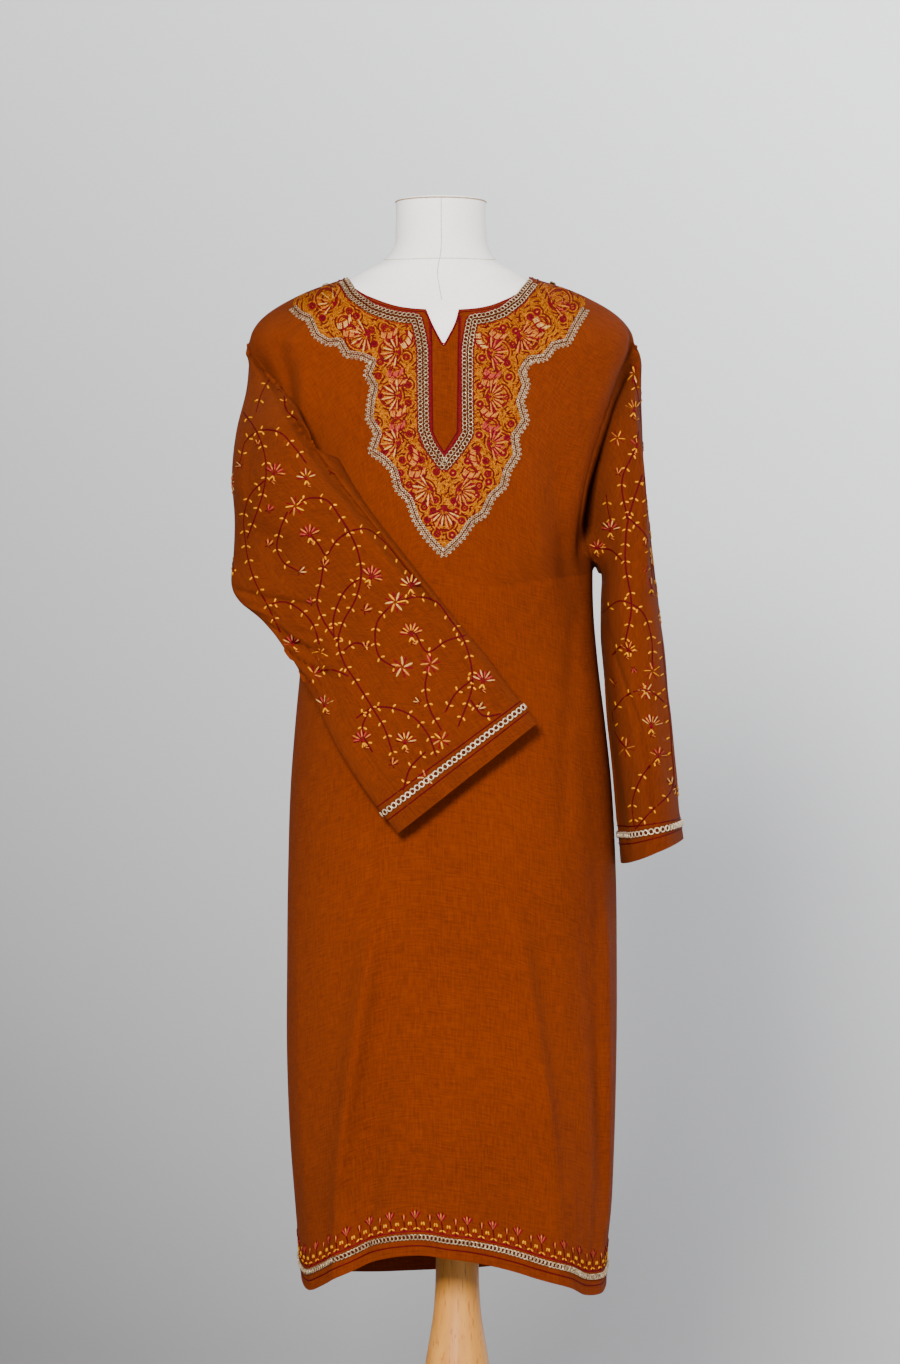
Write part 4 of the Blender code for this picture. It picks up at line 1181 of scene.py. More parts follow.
def ringed_dot(view, centre, size, only=None, middle="pink"):
    centre = np.array(centre)
    for k in range(6):
        p = centre + way(60 * k) * size
        q = centre + way(60 * k + 78) * size
        stitch(view, p, q, "crimson", size * 0.85, 0.0010, only)
    stitch(view, centre - way(20) * size * 0.6, centre + way(20) * size * 0.6, middle, size * 0.7,
           0.0012, only)


def stem(view, points, leaf_every=0.0175, only=None, leaf=0.0046, wide=0.0023, tint="maroon"):
    line = along(points, 0.0027)
    chain(view, line, tint, wide, only)
    run = np.gradient(line, axis=0)
    walked = run_length(line)
    place = leaf_every * 0.5
    flip = 1
    while place < walked[-1]:
        k = int(np.argmin(np.abs(walked - place)))
        angle = math.degrees(math.atan2(run[k][1], run[k][0]))
        for side in (1, -1):
            root = line[k] + way(angle + 90 * side) * 0.0012
            turn = 52 if side == flip else 64
            stitch(view, root, root + way(angle + turn * side) * leaf, "gold", 0.0021, 0.0011, only)
        flip = -flip
        place += leaf_every


# %% [markdown]
# The vines of the sleeves are laid out by a few points to each stem, in steps of the picture's grid.
# The stems swing in open arcs, and a flower or a bud fills the space inside each arc.

# %% Vines of the laid sleeve
Bloom = namedtuple("Bloom", "kind px py aim size petals colours")
RIGHT_STEMS = [
    [(240, 461), (247, 439), (263, 430), (280, 433), (293, 446), (306, 463)],
    [(243, 412), (256, 431), (264, 453), (266, 470), (263, 492), (256, 514), (247, 538)],
    [(264, 481), (252, 492), (244, 514), (245, 540), (249, 564), (256, 584), (267, 605), (280, 632)],
    [(296, 503), (311, 498), (326, 500), (339, 516), (349, 532), (357, 550), (361, 574), (355, 600),
     (343, 622), (338, 641), (343, 661), (356, 682), (371, 706), (384, 728), (392, 752)],
    [(287, 512), (279, 533), (277, 550), (284, 563), (296, 570)],
    [(311, 535), (320, 547), (325, 555), (337, 540), (351, 531), (366, 529), (383, 541), (400, 561),
     (415, 579)],
    [(324, 561), (321, 580), (317, 604), (324, 622), (338, 642)],
    [(267, 605), (284, 602), (300, 610), (313, 625), (319, 644)],
    [(360, 578), (347, 588), (338, 603), (333, 622), (334, 638)],
    [(398, 601), (417, 597), (435, 601), (449, 618), (462, 637), (470, 661), (472, 686), (466, 706),
     (458, 726)],
    [(388, 608), (378, 620), (375, 641), (380, 658), (394, 667)],
    [(415, 633), (427, 652), (446, 641), (466, 635)],
    [(429, 665), (425, 686), (430, 710), (441, 730)],
    [(315, 671), (333, 670), (348, 676)],
    [(356, 718), (372, 708), (392, 708), (413, 717), (428, 735), (436, 756)],
    [(344, 650), (355, 643), (366, 645)],
    [(445, 712), (455, 694), (471, 680)],
    [(371, 706), (362, 730), (372, 752)],
    [(270, 378), (262, 392), (256, 412)], [(297, 420), (286, 410), (284, 396)],
    [(403, 790), (410, 768), (425, 752)], [(470, 700), (484, 716), (500, 714)],
]
RIGHT_BLOOMS = [
    Bloom("fan", 274, 473, 70, 9.0, 6, ("peach", "pink")),
    Bloom("fan", 306, 478, 95, 8.0, 5, ("cream", "gold")),
    Bloom("pinwheel", 295, 506, 20, 8.5, 5, ("gold", "peach")),
    Bloom("bud", 268, 511, 60, 6.0, 3, ("pink",)),
    Bloom("fan", 309, 535, 100, 9.0, 6, ("peach", "pink")),
    Bloom("bud", 268, 546, 70, 6.0, 3, ("peach",)),
    Bloom("bud", 324, 566, 75, 6.5, 3, ("peach",)),
    Bloom("bud", 299, 572, 20, 6.0, 3, ("cream",)),
    Bloom("bud", 312, 603, 130, 5.5, 3, ("pink",)),
    Bloom("fan", 371, 577, 60, 9.5, 7, ("peach", "pink")),
    Bloom("fan", 410, 586, 95, 9.5, 6, ("cream", "cream", "gold")),
    Bloom("pinwheel", 395, 602, 45, 9.0, 6, ("cream", "gold")),
    Bloom("bud", 364, 611, 40, 7.0, 3, ("peach",)),
    Bloom("fan", 411, 634, 95, 9.5, 7, ("peach", "gold")),
    Bloom("fan", 292, 644, 110, 8.5, 6, ("cream", "pink")),
    Bloom("pinwheel", 320, 652, 20, 7.5, 5, ("gold", "peach")),
    Bloom("bud", 366, 648, 95, 6.0, 3, ("peach",)),
    Bloom("pinwheel", 402, 667, 70, 9.5, 5, ("cream", "peach")),
    Bloom("pinwheel", 430, 664, 15, 8.5, 5, ("peach", "pink")),
    Bloom("pinwheel", 313, 674, 30, 8.0, 5, ("peach", "gold")),
    Bloom("fan", 483, 681, 80, 9.5, 7, ("cream", "pink")),
    Bloom("bud", 478, 709, 35, 6.5, 3, ("cream",)),
    Bloom("fan", 324, 705, 100, 8.5, 6, ("cream", "pink")),
    Bloom("bud", 330, 472, 20, 5.5, 3, ("peach",)),
    Bloom("fan", 362, 740, 110, 8.5, 6, ("peach", "pink")),
    Bloom("fan", 405, 742, 85, 9.0, 6, ("cream", "gold")),
    Bloom("pinwheel", 441, 740, 40, 8.0, 5, ("peach", "gold")),
    Bloom("bud", 392, 765, 60, 6.5, 3, ("peach",)),
    Bloom("bud", 419, 702, 150, 5.0, 3, ("cream",)),
    Bloom("pinwheel", 425, 778, 10, 7.5, 5, ("cream", "peach")),
    Bloom("bud", 258, 445, 90, 5.0, 3, ("peach",)),
    Bloom("bud", 241, 466, 160, 5.0, 3, ("cream",)),
    Bloom("bud", 280, 390, 60, 5.0, 3, ("peach",)),
]


# %% Vines of the hanging sleeve
LEFT_STEMS = [
    [(642, 475), (634, 498), (628, 519), (625, 560), (631, 610), (625, 641)],
    [(606, 495), (608, 512), (611, 524)],
    [(594, 548), (610, 550), (624, 563)],
    [(636, 448), (622, 479), (627, 519)],
    [(603, 612), (619, 601), (640, 610), (651, 638), (652, 666)],
    [(644, 475), (648, 519), (656, 573), (661, 634), (666, 688), (671, 746), (670, 792), (650, 812),
     (635, 829)],
    [(612, 712), (627, 695), (647, 690), (664, 702)],
    [(658, 756), (642, 776), (632, 803), (634, 827)],
    [(634, 380), (640, 410), (636, 448)],
    [(612, 655), (622, 646), (631, 652)],
    [(629, 519), (645, 535), (650, 560), (652, 580)],
    [(625, 747), (616, 735), (612, 712)],
]
LEFT_BLOOMS = [
    Bloom("pinwheel", 634, 374, 20, 8.0, 6, ("cream", "gold")),
    Bloom("fan", 634, 410, 80, 8.5, 7, ("peach", "gold")),
    Bloom("pinwheel", 617, 438, 40, 7.0, 5, ("gold", "peach")),
    Bloom("fan", 637, 446, 60, 7.5, 5, ("pink", "peach")),
    Bloom("fan", 610, 530, 90, 8.5, 6, ("cream", "pink")),
    Bloom("bud", 618, 474, 80, 5.5, 3, ("peach",)),
    Bloom("bud", 645, 545, 60, 5.5, 3, ("peach",)),
    Bloom("fan", 651, 587, 90, 7.5, 5, ("cream", "pink")),
    Bloom("fan", 628, 650, 70, 7.5, 5, ("peach", "gold")),
    Bloom("pinwheel", 652, 671, 10, 7.5, 5, ("gold", "peach")),
    Bloom("bud", 614, 684, 150, 6.0, 3, ("peach",)),
    Bloom("pinwheel", 646, 691, 30, 7.5, 6, ("cream", "peach")),
    Bloom("fan", 651, 726, 90, 9.5, 8, ("cream", "peach")),
    Bloom("pinwheel", 625, 748, 60, 8.5, 5, ("peach", "gold")),
    Bloom("fan", 658, 756, 80, 7.5, 5, ("peach", "pink")),
    Bloom("bud", 671, 784, 100, 6.0, 3, ("cream",)),
    Bloom("fan", 597, 548, 80, 7.0, 5, ("peach", "pink")),
    Bloom("bud", 633, 668, -80, 4.5, 3, ("pink",)),
    Bloom("bud", 647, 568, 200, 4.5, 3, ("pink",)),
    Bloom("bud", 668, 660, 80, 5.0, 3, ("cream",)),
]


BLOOM_GROWTH = 1.28


def bloom(view, b, place, only):
    size = b.size * PITCH * BLOOM_GROWTH
    if b.kind == "fan":
        fan(view, place, b.aim, size, b.petals, b.colours, only)
        for turn in (150, 210):
            root = np.array(place) + way(b.aim + 180) * size * 0.25
            stitch(view, root, root + way(b.aim + turn) * size * 0.5, "gold", 0.0020, 0.0010, only)
        bud(view, np.array(place) - way(b.aim) * size * 0.75, b.aim - 90, size * 0.42, "peach", only)
    elif b.kind == "pinwheel":
        pinwheel(view, place, b.aim, size, b.petals, b.colours, only)
    else:
        bud(view, place, b.aim, size, b.colours[0], only)


RIGHT_ONLY = ("sleeve_right",)
LEFT_ONLY = ("sleeve_left",)
for stems, blooms, only in ((RIGHT_STEMS, RIGHT_BLOOMS, RIGHT_ONLY), (LEFT_STEMS, LEFT_BLOOMS, LEFT_ONLY)):
    for points in stems:
        stem("front", [at(*p) for p in points], only=only)
    for b in blooms:
        bloom("front", b, at(b.px, b.py), only)
count_stitches()


# %% [markdown]
# The picture doesn't show the outer and back faces of the sleeves. The vine goes all round such a
# sleeve, so similar arcs are drawn there: a wavy main stem with side arcs to left and right.

# %% Vines on the hidden faces of the sleeves
def hidden_vine(view, middle_top, middle_low, half, only, turns=3.5, first=1):
    top = np.array(middle_top)
    low = np.array(middle_low)
    length = float(np.linalg.norm(low - top))
    down = (low - top) / length
    side = np.array([-down[1], down[0]])
    t = np.linspace(0, 1, 26)
    main = top + (low - top) * t[:, None] + side * (np.sin(t * turns * math.pi) * half * 0.55)[:, None]
    stem(view, main, only=only)
    aim = math.degrees(math.atan2(down[1], down[0]))
    tints = [("peach", "pink"), ("cream", "gold"), ("peach", "gold"), ("cream", "pink")]
    count = int(length / 0.030)
    for k in range(count):
        s = (k + 0.5) / count
        flip = first if k % 2 == 0 else -first
        root = top + (low - top) * s + side * math.sin(s * turns * math.pi) * half * 0.55
        place = root + side * flip * half * 0.55 + down * 0.012
        bend = (root + place) / 2 + down * 0.010
        stem(view, [root, bend, place], leaf_every=0.009, only=only)
        kind = ("fan", "bud", "pinwheel")[k % 3]
        bloom(view, Bloom(kind, 0, 0, aim + 60 * flip, 8.0 if kind != "bud" else 6.0, 6, tints[k % 4]),
              place, only)


hidden_vine("left", (0.010, 1.290), (0.004, 0.850), 0.060, LEFT_ONLY)
hidden_vine("back", (0.185, 1.240), (0.212, 0.850), 0.030, LEFT_ONLY, turns=4.5, first=-1)
hidden_vine("right", (0.010, 1.290), (-0.040, 1.080), 0.060, RIGHT_ONLY)
hidden_vine("back", (-0.200, 1.240), (-0.200, 1.100), 0.030, RIGHT_ONLY, turns=3.0, first=-1)
count_stitches()


# %% [markdown]
# The yoke is worked solid. Flowers, curled leaves and ringed dots sit on a ground of mustard
# stitches that flow round them like ripples. First the motifs are listed for one half, by their
# place left of the centre line, and the other half mirrors them with small changes.

# %% Yoke motifs
YOKE_MIDDLE = 444
HALF_FANS = [(111, 303, 150), (78, 335, 200), (47, 352, 175), (46, 396, 180), (47, 443, 172), (15, 489, 205)]
HALF_LEAVES = [(100, 322, 35, "cream"), (93, 331, 20, "peach"), (55, 333, 15, "peach"), (49, 372, 10, "pink"),
               (46, 380, -10, "peach"), (46, 411, 20, "peach"), (47, 425, 15, "pink"),
               (31, 457, 80, "peach"), (27, 472, 10, "peach"), (38, 340, 60, "cream")]
HALF_DOTS = [(95, 311), (122, 318), (60, 327), (64, 362), (36, 385), (63, 396), (36, 403), (68, 423),
             (35, 434), (64, 437), (60, 452), (42, 460), (23, 460), (44, 473), (45, 481), (35, 485),
              (32, 494),
             (20, 507), (11, 511), (17, 520), (7, 534), (88, 316), (66, 376), (70, 344), (38, 357),
             (33, 448), (8, 472), (9, 500), (73, 330), (132, 306), (86, 342)]


def yoke_spots(table):
    for entry in table:
        yield (YOKE_MIDDLE - entry[0], *entry[1:], -1)
        yield (YOKE_MIDDLE + 1 + entry[0] * 0.965, entry[1] + 1, *entry[2:], 1)


def inside(path, x, z):
    marks = np.array([(m.x, m.z) for m in path])
    ax, az = marks[:, 0], marks[:, 1]
    bx, bz = np.roll(ax, -1), np.roll(az, -1)
    x, z = np.asarray(x)[:, None], np.asarray(z)[:, None]
    cross = ((az > z) != (bz > z)) & (x < (bx - ax) * (z - az) / np.where(bz == az, 1e-9, bz - az) + ax)
    return cross.sum(axis=1) % 2 == 1


def distance_to(path, x, z):
    marks = straight_along([(m.x, m.z) for m in path], 0.002)
    return np.min(np.hypot(np.asarray(x)[:, None] - marks[None, :, 0],
                           np.asarray(z)[:, None] - marks[None, :, 1]), axis=1)


# %% Yoke ground
FRONT_ONLY = ("front",)
TOP = [Mark(-0.180, 1.45), Mark(0.140, 1.45)]
outer_edge = YOKE_PATH + [TOP[1], TOP[0]]
inner_edge = NECK_PATH + [Mark(0.0762, 1.45), Mark(-0.1245, 1.45)]
yoke_spots_at = []
FAN_ROOM = 0.0110
LEAF_ROOM = 0.0058
DOT_ROOM = 0.0024
FAN_MIDDLE = 0.0085
for table, radius in ((HALF_FANS, FAN_ROOM), (HALF_LEAVES, LEAF_ROOM), (HALF_DOTS, DOT_ROOM)):
    for px, py, *rest in yoke_spots(table):
        x, z = at(px, py)
        if table is HALF_FANS:
            aim = rest[0] if rest[-1] < 0 else 180 - rest[0]
            x, z = np.array((x, z)) + way(aim) * FAN_MIDDLE
        yoke_spots_at.append((x, z, radius))
yoke_spots_at.append((*at(444, 520), 0.0115))
yoke_spots_at = np.array(yoke_spots_at)
seeds = np.random.RandomState(7)
RIPPLE = 0.0017
grid_x, grid_z = np.meshgrid(np.arange(-0.19, 0.15, 0.0017), np.arange(1.11, 1.42, 0.0013))
grid_x = grid_x.ravel() + seeds.uniform(-0.0004, 0.0004, grid_x.size)
grid_z = grid_z.ravel() + seeds.uniform(-0.0003, 0.0003, grid_z.size)
offset = np.stack([grid_x, grid_z], axis=-1)[:, None, :] - yoke_spots_at[None, :, :2]
reach = np.linalg.norm(offset, axis=-1) - yoke_spots_at[None, :, 2]
nearest = np.argmin(reach, axis=1)
pick = np.arange(len(nearest))
ripple = np.floor(reach[pick, nearest] / RIPPLE)
radial = offset[pick, nearest]
out = radial / np.linalg.norm(radial, axis=-1, keepdims=True)
snapped = (ripple + 0.5) * RIPPLE + yoke_spots_at[nearest, 2]
ground = yoke_spots_at[nearest, :2] + out * snapped[:, None]
keep = inside(outer_edge, ground[:, 0], ground[:, 1]) & ~inside(inner_edge, ground[:, 0], ground[:, 1])
BORDER_ROOM = 0.0036
BRAID_ROOM = 0.0062
keep &= distance_to(YOKE_PATH, ground[:, 0], ground[:, 1]) > BORDER_ROOM
keep &= distance_to(NECK_PATH, ground[:, 0], ground[:, 1]) > BRAID_ROOM
ground, ripple, out = ground[keep], ripple[keep], out[keep]
tangent = np.stack([-out[:, 1], out[:, 0]], axis=-1)
tints = seeds.choice(["mustard", "amber", "ochre", "maroon"], len(ground), p=[0.28, 0.56, 0.06, 0.10])
tangent = unit(tangent + out * seeds.uniform(-0.45, 0.45, len(ground))[:, None])
lengths = seeds.uniform(0.0013, 0.0019, len(ground))
for place, ring, run, tint, half in zip(ground, ripple, tangent, tints, lengths):
    broken = math.sin(place[0] * 430 + place[1] * 250) > -0.1
    tint = "crimson" if ring == 0 else "maroon" if ring % 3 == 2 and broken else str(tint)
    high = 0.0006 if ring == 0 else 0.0004
    stitch("front", place - run * half, place + run * half, tint, 0.0016, high, FRONT_ONLY)
print("ground stitches:", len(ground))


# %% Yoke flowers, leaves and dots
palettes = [("peach", "cream"), ("peach", "pink"), ("cream", "peach"), ("peach",)]
for k, (px, py, aim, side) in enumerate(yoke_spots(HALF_FANS)):
    aim = aim if side < 0 else 180 - aim
    fan("front", at(px, py), aim, 18.5 * PITCH, 8 + k % 2, palettes[k % 4], FRONT_ONLY, 0.80, 165)
fan("front", at(444, 510), -90, 20 * PITCH, 8, ("peach", "cream"), FRONT_ONLY, 0.80, 130)
for k, (px, py, aim, tint, side) in enumerate(yoke_spots(HALF_LEAVES)):
    aim = aim if side < 0 else 180 - aim
    curled_leaf("front", at(px, py), aim, 15.0 * PITCH, tint, FRONT_ONLY, 30 * side)
for k, (px, py, side) in enumerate(yoke_spots(HALF_DOTS)):
    ringed_dot("front", at(px, py), (1.9 + 0.35 * (k % 4)) * PITCH, FRONT_ONLY,
               ("maroon", "peach", "maroon", "crimson")[k % 4])
count_stitches()


# %% [markdown]
# Tilla cord is couched down in rings. One small torus is made as an array of points, and a whole
# chain is that torus repeated along a line of places, each turned to lie on the cloth with a slight
# tilt, over a narrow band of couching thread. The yoke's border is made of thin cords that wave across
# each other, with a row of small rings outside.

# %% Rings and cords
def frames_along(points, normals):
    run = unit(np.gradient(points, axis=0))
    normals = unit(normals - run * np.sum(normals * run, axis=-1, keepdims=True))
    return run, unit(np.cross(normals, run)), normals


def ring_chain(points, normals, radius, thick, lift, around=14, section=6, tilt=0.0):
    run, side, up = frames_along(points, normals)
    a = np.arange(around) * 2 * math.pi / around
    b = np.arange(section) * 2 * math.pi / section
    big = radius + thick * np.cos(b)[None, :]
    local_x = np.cos(a)[:, None] * big
    local_y = np.sin(a)[:, None] * big
    local_z = thick * np.sin(b)[None, :] + 0 * local_x
    vertices = []
    for k in range(len(points)):
        centre = points[k] + up[k] * lift
        vertices.append(centre + local_x.reshape(-1, 1) * run[k] + local_y.reshape(-1, 1) * side[k]
                        + (local_z.reshape(-1, 1) + tilt * local_x.reshape(-1, 1)) * up[k])
    index = np.arange(around * section).reshape(around, section)
    index = np.concatenate([index, index[:1]], axis=0)
    index = np.concatenate([index, index[:, :1]], axis=1)
    one = np.array(grid_faces(index))
    faces = np.concatenate([one + k * around * section for k in range(len(points))])
    return np.concatenate(vertices), faces


def cord(points, normals, radius, lift, section=6, closed=False):
    run, side, up = frames_along(points, normals)
    b = np.arange(section) * 2 * math.pi / section
    tube = (points[:, None] + up[:, None] * (lift + radius * np.sin(b)[None, :, None])
            + side[:, None] * (radius * np.cos(b)[None, :, None]))
    index = np.arange(len(points) * section).reshape(len(points), section)
    index = np.concatenate([index, index[:, :1]], axis=1)
    if closed:
        index = np.concatenate([index, index[:1]], axis=0)
    return tube.reshape(-1, 3), np.array(grid_faces(index))


def joined(name, parts, material):
    points = np.concatenate([p for p, _ in parts])
    faces = []
    base = 0
    for p, f in parts:
        faces.append(f + base)
        base += len(p)
    return add_object(name, points, np.concatenate(faces).tolist(), material)


# %% Lines on the cloth as points and normals
def seen_line(line):
    points = []
    normals = []
    for x, z in line:
        hit = meet("front", x, z)
        if hit is not None and hit[0] == "front":
            points.append(hit[1])
            normals.append(hit[2])
    return np.array(points), unit(np.array(normals))


def beside(line, off):
    run = unit(np.gradient(line, axis=0))
    return line + np.stack([-run[:, 1], run[:, 0]], axis=-1) * off


def even(points, normals, spacing):
    length = run_length(points)
    want = np.linspace(0, length[-1], max(3, int(round(length[-1] / spacing)) + 1))
    out = np.stack([np.interp(want, length, points[:, k]) for k in range(3)], axis=-1)
    turned = np.stack([np.interp(want, length, normals[:, k]) for k in range(3)], axis=-1)
    return out, unit(turned)


def band(points, normals, wide, lift, thick=0.0006):
    run, side, up = frames_along(points, normals)
    rows_at = []
    for off, high in ((-0.5, 0.0), (-0.42, thick), (0.0, thick * 0.6), (0.42, thick), (0.5, 0.0)):
        rows_at.append(points + side * off * wide + up * (lift + high))
    grid = np.array(rows_at)
    return grid.reshape(-1, 3), np.array(grid_faces(np.arange(grid.shape[0] * grid.shape[1]).reshape(
        grid.shape[:2])))


# %% Neck braid and yoke border
neck_line = straight_along([(m.x, m.z) for m in NECK_PATH], 0.0012)
for _ in range(3):
    neck_line[1:-1] = (neck_line[:-2] + neck_line[1:-1] * 2 + neck_line[2:]) / 4
neck_points, neck_normals = seen_line(neck_line)
parts = []
for off in (-0.0033, 0.0033):
    points, normals = even(*seen_line(beside(neck_line, off)), 0.0047)
    parts.append(ring_chain(points, normals, 0.0023, 0.00050, 0.0014, 14, 5, tilt=0.25))
neck_front = joined("neck_braid_front_rings", parts, TILLA)
points, normals = even(neck_points, neck_normals, 0.0025)
neck_base = joined("neck_braid_front_band", [band(points, normals, 0.0126, 0.0003)], TILLA_GROUND)
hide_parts("neck_braid_front")

yoke_line = straight_along([(m.x, m.z) for m in YOKE_PATH], 0.0012)
yoke_line[1:-1] = (yoke_line[:-2] + yoke_line[1:-1] * 2 + yoke_line[2:]) / 4
fine_line = straight_along(yoke_line, 0.0006)
parts = []
WAVE = 0.0054
BORDER_CORD = 0.00038
for off, size in ((-0.0023, 0.0016), (0.0021, 0.0014)):
    for start in (0.0, 0.5):
        swing = off + size * np.sin((run_length(fine_line) / WAVE + start) * 2 * math.pi)
        waved = beside(fine_line, swing[:, None])
        parts.append(cord(*seen_line(waved), BORDER_CORD, 0.0008, section=5))
points, normals = even(*seen_line(beside(yoke_line, -0.0047)), WAVE)
parts.append(ring_chain(points, normals, 0.0011, 0.00040, 0.0008, around=10, section=5))
border = joined("yoke_border_rings", parts, TILLA)
points, normals = even(*seen_line(yoke_line), 0.0025)
border_base = joined("yoke_border_band", [band(points, normals, 0.0014, 0.0002, 0.0004)], TILLA_GROUND)
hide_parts("yoke_border")
print("rings and cords on the yoke:", len(border.data.polygons), len(neck_front.data.polygons), "faces")


# %% Back neck, hem and cuff lines
LINE_POINTS = 260
NECK_BRAID_UP = 0.008
HEM_BRAID_UP = 0.020
CUFF_BRAID_UP = 0.0245


def panel_line(back, up, from_neck=False, reach=90.0):
    across = np.linspace(-reach, reach, LINE_POINTS)
    hem = edge_height(HEM_BACK if back else HEM_FRONT, across)
    neck = edge_height(NECK_BACK if back else NECK_FRONT, across)
    part = 1 - up / (neck - hem) if from_neck else up / (neck - hem)
    points = panel_points(part, across, back)
    step = panel_points(part + 0.004, across, back) - panel_points(part - 0.004, across, back)
    normals = unit(np.cross(step, np.gradient(points, axis=0)))
    outward = points * np.array([1, 1, 0])
    return points, normals * np.sign(np.sum(normals * outward, axis=-1, keepdims=True))


def sleeve_line(name, up):
    grid = GRIDS[name]
    side = 1 if name == "sleeve_left" else -1
    normals = ring_normals(grid, side)
    gap = np.linalg.norm(np.diff(grid, axis=0), axis=-1).mean(axis=1)
    left = np.concatenate([np.cumsum(gap[::-1])[::-1], [0.0]])
    row = float(np.interp(-up, -left, np.arange(len(left))))
    k = int(row)
    f = row - k
    points = grid[k] * (1 - f) + grid[k + 1] * f
    return points, unit(normals[k] * (1 - f) + normals[k + 1] * f)


def closed_even(points, normals, spacing):
    points = np.concatenate([points, points[:1]])
    normals = np.concatenate([normals, normals[:1]])
    out, turned = even(points, normals, spacing)
    return out[:-1], turned[:-1]


print("cuff rounds in metres:", [round(float(run_length(sleeve_line(n, CUFF_BRAID_UP)[0])[-1]), 3)
                                 for n in ("sleeve_right", "sleeve_left")])


# %% Braids on the back neck, hem and cuffs
RING_POINTS = 14 * 6
RING_LIFT = 0.0012


def braid(name, line, spacing, radius, thick, wide, closed=False, tilt=0.12, material=TILLA):
    spread_out = closed_even if closed else even
    points, normals = spread_out(*line, spacing)
    if closed:
        points_run = np.concatenate([points[-1:], points, points[:1]])
        normals_run = np.concatenate([normals[-1:], normals, normals[:1]])
        rings, faces = ring_chain(points_run, normals_run, radius, thick, RING_LIFT, tilt=tilt)
        rings = rings[RING_POINTS:-RING_POINTS]
        faces = faces[:len(faces) - 2 * RING_POINTS]
    else:
        rings, faces = ring_chain(points, normals, radius, thick, RING_LIFT, tilt=tilt)
    fine_points, fine_normals = spread_out(*line, 0.0022)
    if closed:
        fine_points = np.concatenate([fine_points, fine_points[:1]])
        fine_normals = np.concatenate([fine_normals, fine_normals[:1]])
    obj = joined(name + "_rings", [(rings, faces)], material)
    base = joined(name + "_band", [band(fine_points, fine_normals, wide * 0.55, 0.0003)], TILLA_GROUND)
    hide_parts(name)
    return obj, base


HEM_RINGS = dict(spacing=0.0043, radius=0.0026, thick=0.0007, wide=0.0078, tilt=0.34)
CUFF_RINGS = dict(spacing=0.0062, radius=0.0028, thick=0.0008, wide=0.0094, closed=True,
                  material=TILLA_BRIGHT)
BRAIDS = {
    "neck_back": braid("neck_braid_back", panel_line(True, NECK_BRAID_UP, from_neck=True, reach=86),
                       spacing=0.0030, radius=0.0030, thick=0.0006, wide=0.0090, tilt=0.4),
    "hem_front": braid("hem_braid_front", panel_line(False, HEM_BRAID_UP), **HEM_RINGS),
    "hem_back": braid("hem_braid_back", panel_line(True, HEM_BRAID_UP), **HEM_RINGS),
    "cuff_right": braid("cuff_braid_right", sleeve_line("sleeve_right", CUFF_BRAID_UP), **CUFF_RINGS),
    "cuff_left": braid("cuff_braid_left", sleeve_line("sleeve_left", CUFF_BRAID_UP), **CUFF_RINGS),
}
for label, (rings, base) in BRAIDS.items():
    print(label, "faces:", len(rings.data.polygons) + len(base.data.polygons))


# %% [markdown]
# Along the hem stands a row of little plants, a flower and a bud in turn, each with chevron leaves.
# They follow the hem all the way round, so they are drawn on a strip of paper, as it were: one
# direction runs along the hem and the other up the cloth, and the strip is bent onto the panel.

# %% Strips that follow an edge
class Strip:
    def __init__(self, name, line_at, heights):
        self.name = name
        self.heights = np.array(heights)
        self.rows = [line_at(h) for h in heights]
        self.lengths = []
        for points, _ in self.rows:
            self.lengths.append(run_length(points))
        self.length = float(self.lengths[0][-1])

    def place(self, u, v):
        k = int(np.clip(np.searchsorted(self.heights, v) - 1, 0, len(self.heights) - 2))
        f = (v - self.heights[k]) / (self.heights[k + 1] - self.heights[k])
        out = []
        for row in (k, k + 1):
            points, normals = self.rows[row]
            s = u / self.length * self.lengths[row][-1]
            out.append((np.array([np.interp(s, self.lengths[row], points[:, i]) for i in range(3)]),
                        np.array([np.interp(s, self.lengths[row], normals[:, i]) for i in range(3)])))
        point = out[0][0] * (1 - f) + out[1][0] * f
        normal = out[0][1] * (1 - f) + out[1][1] * f
        return self.name, point, unit(normal), 1.0


STRIPS = {}
sight_meet = meet


def meet(view, u, v):
    if view in STRIPS:
        return STRIPS[view].place(u, v)
    return sight_meet(view, u, v)


hem_rows = [0.006, 0.010, 0.016, 0.024, 0.032, 0.040, 0.048, 0.058]
STRIPS["hem_front"] = Strip("front", lambda h: panel_line(False, h), hem_rows)
STRIPS["hem_back"] = Strip("back", lambda h: panel_line(True, h), hem_rows)
print("hem strips in metres:", {k: round(s.length, 3) for k, s in STRIPS.items()})


# %% Plants and lines along the hem
PLANT_GAP = 0.0270
PLANT_FOOT = 0.0262


def level_line(length, up, step=0.0024):
    steps = np.arange(0, length, step)
    return np.stack([steps, np.full(len(steps), up)], axis=-1)


